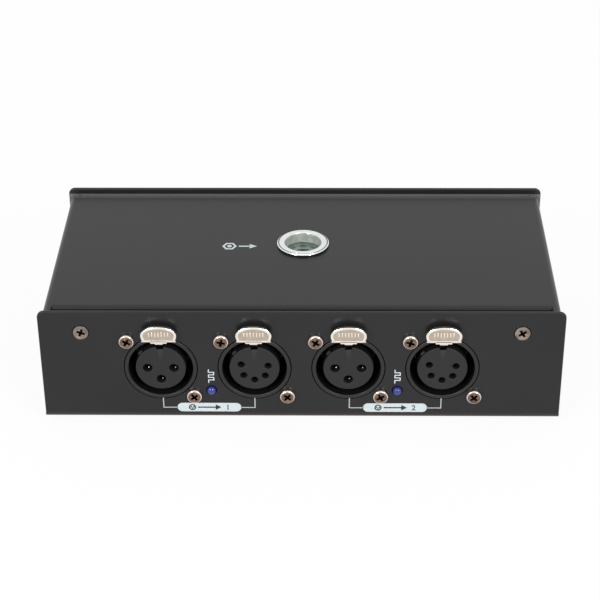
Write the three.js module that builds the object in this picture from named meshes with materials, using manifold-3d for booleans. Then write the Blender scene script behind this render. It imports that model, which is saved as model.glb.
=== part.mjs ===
// A one into two stage lighting data splitter in a folded steel case, with paired 3 and 5 pole outputs.
// Lengths are in millimetres. X runs to the right along the front, Y from front to rear, Z up.
// The origin is on the bench under the middle of the case, and the case stands on four rubber feet.
import * as THREE from "three";
import { mergeVertices } from "three/addons/utils/BufferGeometryUtils.js";
import Module from "manifold-3d";

const wasm = await Module();
wasm.setup();

// Sheet metal
const sheet = 1.2;
const bend_radius = 1.8;
const bend_riser = 6;
const seam = 0.3;
const overrun = 1;

// Circuit board and what carries it
const foot_height = 2;
const foot_radius = 4.5;
const foot_shoulder = 0.6;
const foot_inset_x = 12;
const foot_inset_y = 10;
const standoff_height = 2.75;
const standoff_radius = 2.75;
const standoff_bore = 1.15;
const board_thickness = 1.6;
const board_top = sheet + standoff_height + board_thickness;
const board_side_gap = 4;
const board_end_gap = 1.8;

// Output sockets
const socket_count = 4;
const socket_gap = 3;
const axis_above_board = 12;
const socket_height = board_top + axis_above_board;
const collar_radius = 10.45;
const collar_proud = 0.2;
const panel_hole_gap = 0.3;
const cavity_radius = 9.3;
const cavity_depth = 14.5;
const rear_wall = 1.5;
const shoulder_radius = 11.9;
const shoulder_thickness = 2;
const ear_offset = 9.4;
const ear_radius = 2.6;
const socket_pitch = 2 * (ear_offset + ear_radius) + socket_gap;
const ear_sleeve_radius = 1.95;
const ear_sleeve_length = 6;
const stand_width = 17;
const stand_start = 5;
const insert_radius = 7.225;
const insert_proud = 0.1;
const insert_gap = 0.2;
const insert_flange_radius = 8.6;
const insert_flange = 1.2;
const key_width = 1.5;
const key_height = 0.7;
const key_length = 11;
const key_angle = 50;
const contact_depth = 12;
const leg_width = 0.8;
const leg_thickness = 0.6;
const leg_pitch = 2.54;
const leg_root = 1.6;
const leg_bite = 0.2;

// Latch of an output socket
const tab_width = 10.15;
const tab_rise = 2.85;
const tab_fall = 4.2;
const tab_centre_height = 12.5;
const tab_flat_height = 10.6;
const tab_facets = 14;
const tab_thickness = 1;
const tab_bevel = 0.3;
const tab_stand_off = 1.5;
const lip_width = 4.7;
const lip_height = 0.75;
const tongue_width = 2.3;
const tongue_height = 0.5;
const lever_thickness = 1.2;
const lever_slope = 7.5;
const press_angle = 10;
const pin_depth = 3;
const pin_height = 12.3;
const pin_radius = 0.75;
const pin_gap = 0.2;
const knuckle_radius = 1.5;
const cheek_thickness = 1.5;
const cheek_gap = 0.3;
const cheek_depth = 3.8;
const cheek_rise = 1.6;
const leg_setback = 1.9;
const finger_top = 6.8;
const finger_thickness = 1;
const finger_front = 2.2;
const nose_height = 1.2;
const nose_front = 6.6;
const nose_crest = 8.5;
const nose_rear = 9.6;
const channel_gap = 0.3;

// Input plugs
const plug_bore = 8.1;
const plug_length = 18.5;
const plug_disc = 4.5;
const plug_floor = plug_length - plug_disc;
const plug_disc_gap = 0.2;
const plug_flange_radius = 9.4;
const plug_flange = 1.2;
const plug_pin_tip = 2.5;
const plug_pin_round = 0.5;
const window_width = 3.2;
const window_height = 1.2;
const window_length = 9;

// Poles of the connectors
const poles_3 = { angles: [-90, 0, 90], ring: 3.81, hole: 1.35, pin: 1.2 };
const poles_5 = { angles: [-108, -52, 0, 50, 102], ring: 4, hole: 1, pin: 0.95 };

// Case
const lever_length = cavity_depth + rear_wall + leg_setback + lever_thickness - pin_depth;
const lever_rise = Math.tan(THREE.MathUtils.degToRad(lever_slope)) * lever_length;
const lever_headroom = 0.9;
const cover_inside = socket_height + pin_height + lever_rise + lever_thickness / 2 + lever_headroom;
const cover_top = cover_inside + sheet;
const cover_drop = 1.76;
const side_margin = 34.5;
const case_width = (socket_count - 1) * socket_pitch + 2 * side_margin;
const case_depth = 75;
const case_height = cover_top + cover_drop;
const panel_overhang = 0.95;
const panel_top_corner = 2;
const cover_width = case_width - 2 * panel_overhang;
const cover_hem = 0.5;
const cover_roll = 3.8;
const cover_roll_end = 2.4;
const cover_roll_gap = 0.4;
const base_width = cover_width - 2 * sheet - 2 * seam;

// Cover screws and the tabs that take them
const cover_screw_inset = 12.15;
const cover_screw_drop = 7.05;
const cover_screw_head = 2.35;
const cover_screw_cone = 1.1;
const cover_screw_shank = 1.35;
const cover_screw_length = 7;
const screw_gap = 0.2;
const tab_strip_width = 12;
const tab_strip_length = 11;
const tab_strip_corner = 1.5;

// Panel screws of the connectors
const pan_head_radius = 2.25;
const pan_head_height = 1.35;
const pan_head_rim = 0.5;
const pan_shank = 1.2;
const pan_length = 7;

// Screwed socket for a hanging clamp
const nut_flange_radius = 7.875;
const nut_flange = 0.9;
const nut_flange_round = 0.5;
const nut_lead_radius = 5.55;
const nut_lead_depth = 5.5;
const nut_thread_radius = 4.25;
const nut_body_radius = 6.45;
const nut_bulb_radius = 7.6;
const nut_bulb_height = 3;
const nut_length = 15.5;
const nut_behind_middle = 4.3;

// Status lamps
const lamp_radius = 1.5;
const lamp_proud = 1.4;
const lamp_inward = 0.1;
const lamp_shift = 0.8;
const lamp_height = 9.9;
const lamp_gap = 0.2;
const lamp_flange_radius = 1.9;
const lamp_flange = 0.8;
const lamp_body = 4;
const lamp_wire = 0.5;
const lamp_wire_spread = 0.9;
const lamp_wire_reach = 2.4;

// Mains inlet with its fuse drawer
const inlet_inset = 42;
const inlet_base_gap = 1.6;
const inlet_flange_width = 32;
const inlet_flange_height = 28.8;
const inlet_height = sheet + inlet_base_gap + inlet_flange_height / 2;
const inlet_flange = 2.6;
const inlet_ear_radius = 4.8;
const inlet_ear_angle = 60;
const inlet_screw_spread = 20;
const inlet_body_width = 27.4;
const inlet_body_depth = 21;
const inlet_wall = 1.2;
const inlet_mouth_width = 24.2;
const inlet_mouth_height = 16.6;
const inlet_mouth_cut = 4.2;
const inlet_mouth_depth = 16;
const blade_width = 2;
const blade_height = 4;
const blade_spread = 7;
const blade_offset = 2;
const blade_tip = 1.5;
const blade_tip_bevel = 0.5;
const blade_tail = 26;
const blade_gap = 0.15;
const earth_lead = 1;
const drawer_height = 6;
const drawer_width = 23.4;
const drawer_gap = 0.3;
const tray_wall = 1.6;
const drawer_depth = 17;
const pry_width = 5;
const pry_depth = 1.2;
const pry_height = 1.4;
const fuse_radius = 2.5;
const fuse_length = 20;
const fuse_gap = 0.3;
const fuse_seat_gap = 0.1;
const fuse_cap_length = 4.5;
const fuse_glass_step = 0.25;
const fuse_depth = 9;
const inlet_screw_head = 2.8;
const inlet_screw_cone = 1.6;
const inlet_screw_shank = 1.35;
const inlet_screw_length = 8;

// Parts on the board
const transformer_size = { x: 20, y: 16, z: 17 };
const transformer_inset = 28;
const transformer_room_share = 35 / 158;
const core_window = 3;
const core_thickness = 4.5;
const bobbin_flange = 3;
const capacitor_radius = 5;
const capacitor_length = 17;
const capacitor_round = 0.6;
const capacitor_groove = 0.5;
const capacitor_groove_height = 2;
const capacitor_inset = 45;
const capacitor_forward = 4;
const chip_size = { x: 9.6, y: 6.4, z: 3.4 };
const chip_leg = 0.5;
const chip_leg_reach = 0.8;
const chip_leg_count = 4;
const chip_leg_pitch = 2.54;
const chip_spacing = 22;
const chip_forward = 7;
const board_screw_inset = 13;
const board_screw_rear = 12.5;
const board_screw_front = 17.5;
const board_screw_edge = 5;
const board_screw_head = 2.6;
const board_screw_head_height = 1.6;
const board_screw_gap = 0.3;

// Facets
const ring_sides = 20;
const rod_sides = 12;
const screw_sides = 9;
const pin_sides = 8;
const curve_steps = 3;
const weld = 1e-4;
const half_turn = 180;

const front = -case_depth / 2;
const rear = case_depth / 2;

// Finishes
const steel_black = { color: 0x2b2b2c, roughness: 0.55, metalness: 0.1 };
const moulded_black = { color: 0x1b1b1c, roughness: 0.5, metalness: 0 };
const insert_black = { color: 0x2c2c2e, roughness: 0.45, metalness: 0 };
const zinc = { color: 0xd2d6d0, roughness: 0.28, metalness: 0.95 };
const nickel = { color: 0xd8ccbc, roughness: 0.35, metalness: 0.9 };
const screw_nickel = { color: 0xb9aca0, roughness: 0.3, metalness: 0.95 };
const dark_screw = { color: 0x5c534c, roughness: 0.35, metalness: 0.9 };
const lamp_blue = { color: 0x2236a8, roughness: 0.15, metalness: 0 };
const rubber = { color: 0x18181a, roughness: 0.85, metalness: 0 };
const board_green = { color: 0x1f5a34, roughness: 0.5, metalness: 0 };
const tin = { color: 0xc4c6c8, roughness: 0.3, metalness: 0.95 };
const ferrite = { color: 0x3a3a3c, roughness: 0.7, metalness: 0.1 };
const glass_clear = { color: 0xd9e2e4, roughness: 0.08, metalness: 0 };

// A closed geometry as a solid
function solid(geometry) {
  const bare = geometry.index ? geometry.toNonIndexed() : geometry.clone();
  bare.deleteAttribute("normal");
  bare.deleteAttribute("uv");
  const merged = mergeVertices(bare, weld);
  const corners = merged.index.array;
  const faces = [];
  for (let i = 0; i < corners.length; i += 3) {
    const [a, b, c] = corners.slice(i, i + 3);
    if (a !== b && b !== c && c !== a) faces.push(a, b, c);
  }
  const mesh = new wasm.Mesh({
    numProp: 3,
    vertProperties: merged.attributes.position.array,
    triVerts: new Uint32Array(faces),
  });
  return new wasm.Manifold(mesh);
}

function join(first, ...others) {
  return others.reduce((whole, next) => whole.add(next), first);
}

function cut(body, ...tools) {
  return tools.reduce((whole, next) => whole.subtract(next), body);
}

// A solid as a named mesh with a finish of its own
function piece(name, body, finish) {
  const made = body.getMesh();
  const geometry = new THREE.BufferGeometry();
  geometry.setAttribute("position", new THREE.BufferAttribute(made.vertProperties, made.numProp));
  geometry.setIndex(new THREE.BufferAttribute(made.triVerts, 1));
  const mesh = new THREE.Mesh(geometry, new THREE.MeshStandardMaterial({ ...finish, flatShading: true }));
  mesh.name = name;
  return mesh;
}

// A block between two corners
function block(low, high) {
  const size = high.map((value, i) => value - low[i]);
  const centre = high.map((value, i) => (value + low[i]) / 2);
  return solid(new THREE.BoxGeometry(...size).translate(...centre));
}

// A front view outline, in x and z, with depth along y
function front_plate(shape, from, to, options = {}) {
  const settings = { depth: to - from, bevelEnabled: false, curveSegments: curve_steps, ...options };
  return new THREE.ExtrudeGeometry(shape, settings).rotateX(Math.PI / 2).translate(0, to, 0);
}

// A plan view outline, in x and y, with depth along z
function flat_plate(shape, from, to) {
  const settings = { depth: to - from, bevelEnabled: false, curveSegments: curve_steps };
  return solid(new THREE.ExtrudeGeometry(shape, settings).translate(0, 0, from));
}

// A side view outline, in y and z, with its width centred on a place along x
function side_plate(shape, width, centre = 0) {
  const settings = { depth: width, bevelEnabled: false, curveSegments: curve_steps };
  const turn = new THREE.Matrix4().makeBasis(
    new THREE.Vector3(0, 1, 0),
    new THREE.Vector3(0, 0, 1),
    new THREE.Vector3(1, 0, 0),
  );
  const geometry = new THREE.ExtrudeGeometry(shape, settings).translate(0, 0, centre - width / 2);
  return solid(geometry.applyMatrix4(turn));
}

// An outline through points
function outline(points) {
  return new THREE.Shape(points.map(([a, b]) => new THREE.Vector2(a, b)));
}

// A revolve about the y axis, from a profile of radius and depth
function turned(profile, sides = ring_sides) {
  return new THREE.LatheGeometry(
    profile.map(([radius, along]) => new THREE.Vector2(radius, along)),
    sides,
  );
}

// A round rod along y
function rod(radius, from, to, sides = rod_sides) {
  return turned([[0, from], [radius, from], [radius, to], [0, to]], sides);
}

function rod_at(x, z, radius, from, to, sides = rod_sides) {
  return solid(rod(radius, from, to, sides).translate(x, 0, z));
}

// A round rod that stands along z
function post_at(x, y, radius, from, to, sides = rod_sides) {
  return solid(rod(radius, from, to, sides).rotateX(Math.PI / 2).translate(x, y, 0));
}

// The places of a connector's poles, seen from the front, with the middle one at the bottom.
// The side is 1 for a socket and -1 for the plug that mates with it.
function pole_places(poles, side) {
  return poles.angles.map((degrees) => {
    const angle = THREE.MathUtils.degToRad(degrees);
    return [side * poles.ring * Math.sin(angle), -poles.ring * Math.cos(angle)];
  });
}

const ears = [
  [-ear_offset, ear_offset],
  [ear_offset, -ear_offset],
];

// Folded chassis: front panel, base and rear panel in one sheet
function panel_outline() {
  const half = case_width / 2;
  const crown = panel_top_corner;
  const top = case_height - crown;
  const shape = new THREE.Shape();
  shape.moveTo(-half, bend_radius);
  shape.lineTo(half, bend_radius);
  shape.absarc(half - crown, top, crown, 0, Math.PI / 2, false);
  shape.absarc(-half + crown, top, crown, Math.PI / 2, Math.PI, false);
  return shape;
}

function bent_base() {
  const inner = bend_radius - sheet;
  const bottom = new THREE.Shape();
  bottom.moveTo(front, bend_riser);
  bottom.lineTo(front, bend_radius);
  bottom.absarc(front + bend_radius, bend_radius, bend_radius, Math.PI, Math.PI * 1.5, false);
  bottom.absarc(rear - bend_radius, bend_radius, bend_radius, -Math.PI / 2, 0, false);
  bottom.lineTo(rear, bend_riser);
  bottom.lineTo(rear - sheet, bend_riser);
  bottom.absarc(rear - bend_radius, bend_radius, inner, 0, -Math.PI / 2, true);
  bottom.absarc(front + bend_radius, bend_radius, inner, Math.PI * 1.5, Math.PI, true);
  bottom.lineTo(front + sheet, bend_riser);
  return side_plate(bottom, case_width);
}

// The room beside the base, between the panels, where the cover's sides come down
function side_rooms() {
  const inner = base_width / 2;
  const outer = case_width / 2 + overrun;
  const top = bend_riser + overrun;
  return [
    block([-outer, front + sheet, -overrun], [-inner, rear - sheet, top]),
    block([inner, front + sheet, -overrun], [outer, rear - sheet, top]),
  ];
}

function countersink(x, z, face, side, head, cone, shank) {
  const profile = [
    [0, -overrun],
    [head, -overrun],
    [head, 0],
    [shank, cone],
    [shank, cone + sheet + overrun],
    [0, cone + sheet + overrun],
  ];
  const tool = turned(profile, rod_sides);
  if (side < 0) tool.rotateZ(Math.PI);
  return solid(tool.translate(x, face, z));
}

const cover_screw_x = case_width / 2 - cover_screw_inset;
const cover_screw_z = case_height - cover_screw_drop;

function cover_screw_holes() {
  const head = cover_screw_head + screw_gap;
  const shank = cover_screw_shank + screw_gap;
  return [-cover_screw_x, cover_screw_x].flatMap((x) => [
    countersink(x, cover_screw_z, front, 1, head, cover_screw_cone, shank),
    countersink(x, cover_screw_z, rear, -1, head, cover_screw_cone, shank),
  ]);
}

function connector_holes(x, face) {
  const from = face - sheet - overrun;
  const to = face + sheet + overrun;
  const round = rod_at(x, socket_height, collar_radius + panel_hole_gap, from, to, ring_sides);
  const mirror = Math.sign(-face);
  const screws = ears.map(([ex, ez]) =>
    rod_at(x + ex * mirror, socket_height + ez, pan_shank + screw_gap, from, to, pin_sides),
  );
  return [round, ...screws];
}

const lever_half = lip_width / 2;
const tab_drop = Math.sin(THREE.MathUtils.degToRad(press_angle)) * pin_depth;
const slot_rise = lever_thickness / 2 + tab_drop + cheek_gap;

function latch_slot(x) {
  const half = lever_half + cheek_gap;
  const low = [x - half, front - overrun, socket_height];
  const high = [x + half, front + sheet + overrun, socket_height + pin_height + slot_rise];
  return block(low, high);
}

const inlet_x = -case_width / 2 + inlet_inset;
const inlet_body_height = inlet_mouth_height + drawer_height + 2 * drawer_gap + 3 * inlet_wall;

function inlet_hole() {
  const half = inlet_body_width / 2 + panel_hole_gap;
  const rise = inlet_body_height / 2 + panel_hole_gap;
  const hole = block(
    [inlet_x - half, rear - sheet - overrun, inlet_height - rise],
    [inlet_x + half, rear + overrun, inlet_height + rise],
  );
  const screws = [-inlet_screw_spread, inlet_screw_spread].map((x) => {
    const radius = inlet_screw_shank + screw_gap;
    return rod_at(inlet_x + x, inlet_height, radius, rear - sheet - overrun, rear + overrun, pin_sides);
  });
  return [hole, ...screws];
}

const socket_places = Array.from(
  { length: socket_count },
  (_, i) => (i - (socket_count - 1) / 2) * socket_pitch,
);
const lamp_places = [-1, 1].map((side) => side * (socket_pitch - lamp_inward) + lamp_shift);
const plug_places = [socket_pitch / 2, socket_pitch * 1.5];
const board_half = base_width / 2 - board_side_gap;
const board_front = front + sheet + shoulder_thickness + seam;
const board_rear = rear - sheet - board_end_gap;
const board_step_y = rear - inlet_body_depth - board_side_gap;
const board_step_x = inlet_x + inlet_body_width / 2 + board_side_gap;
const standoff_x = case_width / 2 - board_screw_inset;
const standoff_places = [
  [-standoff_x, front + board_screw_front],
  [standoff_x, front + board_screw_front],
  [-standoff_x, board_step_y - board_screw_edge],
  [standoff_x, rear - board_screw_rear],
];

function standoffs() {
  return standoff_places.map(([x, y]) =>
    post_at(x, y, standoff_radius, sheet / 2, sheet + standoff_height, screw_sides),
  );
}

function standoff_bores() {
  return standoff_places.map(([x, y]) =>
    post_at(x, y, standoff_bore + screw_gap, sheet, sheet + standoff_height + overrun, pin_sides),
  );
}

function chassis() {
  const front_panel = solid(front_plate(panel_outline(), front, front + sheet));
  const rear_panel = solid(front_plate(panel_outline(), rear - sheet, rear));
  const lamp_holes = lamp_places.map((x) =>
    rod_at(x, lamp_height, lamp_radius + lamp_gap, front - overrun, front + sheet + overrun, pin_sides),
  );
  return cut(
    join(front_panel, rear_panel, bent_base(), ...standoffs()),
    ...side_rooms(),
    ...socket_places.flatMap((x) => connector_holes(x, front)),
    ...socket_places.map(latch_slot),
    ...plug_places.flatMap((x) => connector_holes(x, rear)),
    ...lamp_holes,
    ...cover_screw_holes(),
    ...inlet_hole(),
    ...standoff_bores(),
  );
}

// Folded cover: top and two sides, with the front and rear edges rolled down between the sides
function cover_outline() {
  const half = cover_width / 2;
  const inner = bend_radius - sheet;
  const centre = half - bend_radius;
  const level = cover_top - bend_radius;
  const shape = new THREE.Shape();
  shape.moveTo(half - sheet, cover_hem);
  shape.lineTo(half, cover_hem);
  shape.absarc(centre, level, bend_radius, 0, Math.PI / 2, false);
  shape.absarc(-centre, level, bend_radius, Math.PI / 2, Math.PI, false);
  shape.lineTo(-half, cover_hem);
  shape.lineTo(-half + sheet, cover_hem);
  shape.absarc(-centre, level, inner, Math.PI, Math.PI / 2, true);
  shape.absarc(centre, level, inner, Math.PI / 2, 0, true);
  return shape;
}

const cover_end = case_depth / 2 - sheet - seam;
const roll_level = cover_top - cover_roll;
const roll_half = cover_width / 2 - cover_roll_end;

function rolled_edge(foot, width, centre = 0) {
  const middle = -cover_end + cover_roll;
  const section = new THREE.Shape();
  section.moveTo(-cover_end + sheet, foot);
  section.lineTo(-cover_end, foot);
  section.absarc(middle, roll_level, cover_roll, Math.PI, Math.PI / 2, true);
  section.lineTo(middle + overrun, cover_top);
  section.lineTo(middle + overrun, cover_inside);
  section.absarc(middle, roll_level, cover_roll - sheet, Math.PI / 2, Math.PI, false);
  return side_plate(section, width, centre);
}

// A strip that goes down from the rolled edge to take a cover screw
function screw_strip(x) {
  const half = tab_strip_width / 2;
  const low = cover_inside - tab_strip_length;
  const corner = tab_strip_corner;
  const shape = new THREE.Shape();
  shape.moveTo(x - half + corner, low);
  shape.absarc(x + half - corner, low + corner, corner, -Math.PI / 2, 0, false);
  shape.lineTo(x + half, roll_level);
  shape.lineTo(x - half, roll_level);
  shape.absarc(x - half + corner, low + corner, corner, Math.PI, Math.PI * 1.5, false);
  const strip = solid(front_plate(shape, -cover_end, -cover_end + sheet));
  const bore = cover_screw_shank + screw_gap;
  const root = rolled_edge(roll_level - sheet, tab_strip_width, x);
  return cut(
    join(strip, root),
    rod_at(x, cover_screw_z, bore, -cover_end - overrun, -cover_end + sheet + overrun, pin_sides),
  );
}

// One edge of the cover with its two strips, drawn at the front
function cover_edge() {
  const strips = [-cover_screw_x, cover_screw_x].map(screw_strip);
  return join(rolled_edge(roll_level, 2 * roll_half), ...strips);
}

// Room in the front edge for the cheeks and the lever of an output socket
function cheek_notch(x) {
  const half = lever_half + cheek_gap + cheek_thickness + cheek_gap;
  const top = socket_height + pin_height + cheek_rise + cheek_gap;
  return block(
    [x - half, -cover_end - overrun, roll_level - overrun],
    [x + half, -cover_end + sheet + overrun, top],
  );
}

function cover() {
  const shell = solid(front_plate(cover_outline(), -cover_end, cover_end));
  const slit = roll_half + cover_roll_gap;
  const bend = cover_end - cover_roll;
  const ends = [-1, 1].map((end) => {
    const places = [end * bend, end * (cover_end + overrun)].sort((a, b) => a - b);
    return block([-slit, places[0], cover_inside - overrun], [slit, places[1], cover_top + overrun]);
  });
  const front_edge = cut(cover_edge(), ...socket_places.map(cheek_notch));
  const rear_edge = cover_edge().rotate([0, 0, half_turn]);
  const bore = nut_body_radius + screw_gap;
  const hole = post_at(0, nut_behind_middle, bore, cover_inside - overrun, cover_top + overrun, ring_sides);
  return cut(join(cut(shell, ...ends), front_edge, rear_edge), hole);
}

// Set rivet nut that takes the screw of a hanging clamp
function rivet_nut() {
  const under = -sheet - screw_gap;
  const profile = [
    [nut_thread_radius, -nut_length],
    [nut_body_radius, -nut_length],
    [nut_body_radius, under - nut_bulb_height],
    [nut_bulb_radius, under - nut_bulb_height / 2],
    [nut_bulb_radius, under],
    [nut_body_radius, under],
    [nut_body_radius, 0],
    [nut_flange_radius, 0],
    [nut_flange_radius, nut_flange - nut_flange_round],
    [nut_flange_radius - nut_flange_round, nut_flange],
    [nut_lead_radius + nut_flange_round, nut_flange],
    [nut_lead_radius, nut_flange - nut_flange_round],
    [nut_lead_radius, -nut_lead_depth],
    [nut_thread_radius, nut_thread_radius - nut_lead_radius - nut_lead_depth],
    [nut_thread_radius, -nut_length],
  ];
  return solid(turned(profile).rotateX(Math.PI / 2));
}

// Rubber foot
function foot() {
  const profile = [
    [0, 0],
    [foot_radius - foot_shoulder, 0],
    [foot_radius, foot_shoulder],
    [foot_radius, foot_height],
    [0, foot_height],
  ];
  return solid(turned(profile, rod_sides).rotateX(Math.PI / 2));
}

// Countersunk screw, with its head flush at depth zero
function sunk_screw(head, cone, shank, length) {
  const profile = [
    [0, 0],
    [head, 0],
    [shank, cone],
    [shank, length - shank],
    [shank / 2, length],
    [0, length],
  ];
  return solid(turned(profile, screw_sides));
}

// Pan head screw, with its seat at depth zero
function pan_screw(head, height, rim, shank, length) {
  const profile = [
    [0, -height],
    [head - rim, -height],
    [head, -rim],
    [head, 0],
    [shank, 0],
    [shank, length],
    [0, length],
  ];
  return solid(turned(profile, screw_sides));
}

// Outer body that an output socket and an input plug share: collar, shoulder, screw ears and board stand
function connector_body(length) {
  const back = sheet + shoulder_thickness;
  const drum = [
    [0, -collar_proud],
    [collar_radius, -collar_proud],
    [collar_radius, sheet],
    [shoulder_radius, sheet],
    [shoulder_radius, back],
    [collar_radius, back],
    [collar_radius, length],
    [0, length],
  ];
  const ear_blocks = ears.map(([x, z]) => {
    const boss = rod_at(x, z, ear_radius, sheet, back, pin_sides);
    const sleeve = rod_at(x, z, ear_sleeve_radius, sheet, sheet + ear_sleeve_length, pin_sides);
    const reach = Math.hypot(x, z);
    const web = outline([
      [0, -ear_radius],
      [reach, -ear_radius],
      [reach, ear_radius],
      [0, ear_radius],
    ]);
    const arm = solid(front_plate(web, sheet, back).rotateY(-Math.atan2(z, x)));
    return join(boss, sleeve, arm);
  });
  const stand = block(
    [-stand_width / 2, stand_start, -axis_above_board],
    [stand_width / 2, length, -insert_radius],
  );
  const bores = ears.map(([x, z]) =>
    rod_at(x, z, pan_shank + screw_gap, sheet - overrun, pan_length + overrun, pin_sides),
  );
  return cut(join(solid(turned(drum)), ...ear_blocks, stand), ...bores);
}

// Housing of an output socket, with two cheeks for the latch pin
function latch_passage(half) {
  const low = [-half, -collar_proud - overrun, collar_radius + pin_gap];
  const high = [half, cavity_depth + rear_wall + overrun, pin_height + cheek_rise + overrun];
  return block(low, high);
}

function pin_hole(half, radius) {
  const hole = rod(radius, -half, half, pin_sides).rotateZ(Math.PI / 2).translate(0, pin_depth, pin_height);
  return solid(hole);
}

function cheeks() {
  const inner = lever_half + cheek_gap;
  const outer = inner + cheek_thickness;
  const low = [-outer, sheet, cavity_radius];
  const high = [outer, sheet + cheek_depth, pin_height + cheek_rise];
  return block(low, high);
}

function socket_housing() {
  const length = cavity_depth + rear_wall;
  const cavity = rod(cavity_radius, -collar_proud - overrun, cavity_depth, ring_sides);
  const seat = rod(insert_radius + insert_gap, 0, length + overrun, ring_sides);
  const outer = lever_half + cheek_gap + cheek_thickness;
  return cut(
    join(connector_body(length), cheeks()),
    solid(cavity),
    solid(seat),
    latch_passage(lever_half + cheek_gap),
    pin_hole(outer + overrun, pin_radius + pin_gap),
    finger_channel(),
  );
}

// Moulded insert of an output socket, with its contact wells, key and finger channel
const channel_half = tongue_width / 2 + channel_gap;
const channel_end = cavity_depth + rear_wall + leg_setback + lever_thickness + overrun;
const channel_front_floor = finger_top - finger_thickness - channel_gap;

function finger_channel() {
  const drop = Math.tan(THREE.MathUtils.degToRad(press_angle)) * channel_end;
  const roof = pin_height;
  const passage = outline([
    [-insert_proud - overrun, channel_front_floor],
    [0, channel_front_floor],
    [channel_end, channel_front_floor - drop],
    [channel_end, roof],
    [cavity_depth + rear_wall, roof],
    [cavity_depth, insert_radius + insert_gap],
    [-insert_proud - overrun, insert_radius + insert_gap],
  ]);
  return side_plate(passage, 2 * channel_half);
}

function insert_key() {
  const low = [-key_width / 2, 0, insert_radius - key_height];
  const high = [key_width / 2, key_length, insert_radius + key_height];
  const size = high.map((value, i) => value - low[i]);
  const centre = high.map((value, i) => (value + low[i]) / 2);
  const geometry = new THREE.BoxGeometry(...size).translate(...centre);
  return solid(geometry.rotateY(-THREE.MathUtils.degToRad(key_angle)));
}

function solder_legs(count, from, inner) {
  return Array.from({ length: count }, (_, i) => {
    const x = (i - (count - 1) / 2) * leg_pitch;
    const side = Math.max(0, Math.abs(x) - leg_width / 2);
    const top = Math.max(leg_root - inner, leg_bite - Math.sqrt(inner ** 2 - side ** 2));
    return block(
      [x - leg_width / 2, from, -axis_above_board],
      [x + leg_width / 2, from + leg_thickness, top],
    );
  });
}

function socket_insert(poles) {
  const length = cavity_depth + rear_wall;
  const core = turned([
    [0, -insert_proud],
    [insert_radius, -insert_proud],
    [insert_radius, length],
    [insert_flange_radius, length],
    [insert_flange_radius, length + insert_flange],
    [0, length + insert_flange],
  ]);
  const wells = pole_places(poles, 1).map(([x, z]) =>
    rod_at(x, z, poles.hole, -insert_proud - overrun, contact_depth, pin_sides),
  );
  const leg_start = length + insert_flange - leg_thickness;
  const legs = solder_legs(poles.angles.length, leg_start, insert_flange_radius);
  return cut(join(solid(core), insert_key(), ...legs), finger_channel(), ...wells);
}

// Latch: pressing the tab turns it on its pin, and its nose drops out of the plug's window into the insert
function tab_outline() {
  const corner = Math.asin((tab_centre_height - tab_flat_height) / tab_fall);
  const crown = Array.from({ length: tab_facets + 1 }, (_, i) => {
    const angle = (i / tab_facets) * (Math.PI + 2 * corner) - corner;
    const rise = angle > 0 && angle < Math.PI ? tab_rise : tab_fall;
    return [(tab_width / 2) * Math.cos(angle), tab_centre_height + rise * Math.sin(angle)];
  });
  const lip = lip_width / 2;
  const tongue = tongue_width / 2;
  const lip_foot = tab_flat_height - lip_height;
  return outline([
    ...crown,
    [-lip, tab_flat_height],
    [-lip, lip_foot],
    [-tongue, lip_foot],
    [-tongue, lip_foot - tongue_height],
    [tongue, lip_foot - tongue_height],
    [tongue, lip_foot],
    [lip, lip_foot],
    [lip, tab_flat_height],
  ]);
}

function latch() {
  const tab_back = -tab_stand_off;
  const bevel = {
    depth: tab_thickness - 2 * tab_bevel,
    bevelEnabled: true,
    bevelThickness: tab_bevel,
    bevelSize: tab_bevel,
    bevelOffset: -tab_bevel,
    bevelSegments: 1,
  };
  const tab = front_plate(tab_outline(), tab_back - tab_thickness + tab_bevel, tab_back - tab_bevel, bevel);
  const half = lever_thickness / 2;
  const rear_face = pin_depth + lever_length;
  const leg_front = rear_face - lever_thickness;
  const lever = outline([
    [tab_back - tab_bevel, pin_height - half],
    [pin_depth, pin_height - half],
    [rear_face, pin_height + lever_rise - half],
    [rear_face, pin_height + lever_rise + half],
    [pin_depth, pin_height + half],
    [tab_back - tab_bevel, pin_height + half],
  ]);
  const finger_foot = finger_top - finger_thickness;
  const finger = outline([
    [rear_face, pin_height + lever_rise],
    [leg_front, pin_height + lever_rise - half],
    [leg_front, finger_top],
    [nose_rear, finger_top],
    [nose_rear, finger_top + nose_height],
    [nose_crest, finger_top + nose_height],
    [nose_front, finger_top],
    [finger_front, finger_top],
    [finger_front, finger_foot],
    [rear_face, finger_foot],
  ]);
  const knuckle = rod(knuckle_radius, -lever_half, lever_half, pin_sides).rotateZ(Math.PI / 2);
  return cut(
    join(
      solid(tab),
      side_plate(lever, lip_width),
      side_plate(finger, tongue_width),
      solid(knuckle.translate(0, pin_depth, pin_height)),
    ),
    pin_hole(lever_half + overrun, pin_radius + pin_gap),
  );
}

function latch_pin() {
  return pin_hole(lever_half + cheek_gap + cheek_thickness, pin_radius);
}

// Housing of an input plug, with the window channel of its shell
function plug_housing() {
  const bore = rod(plug_bore, -collar_proud - overrun, plug_length + overrun, ring_sides);
  const window = block(
    [-window_width / 2, -collar_proud - overrun, 0],
    [window_width / 2, window_length, plug_bore + window_height],
  );
  return cut(connector_body(plug_length), solid(bore), window);
}

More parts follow.
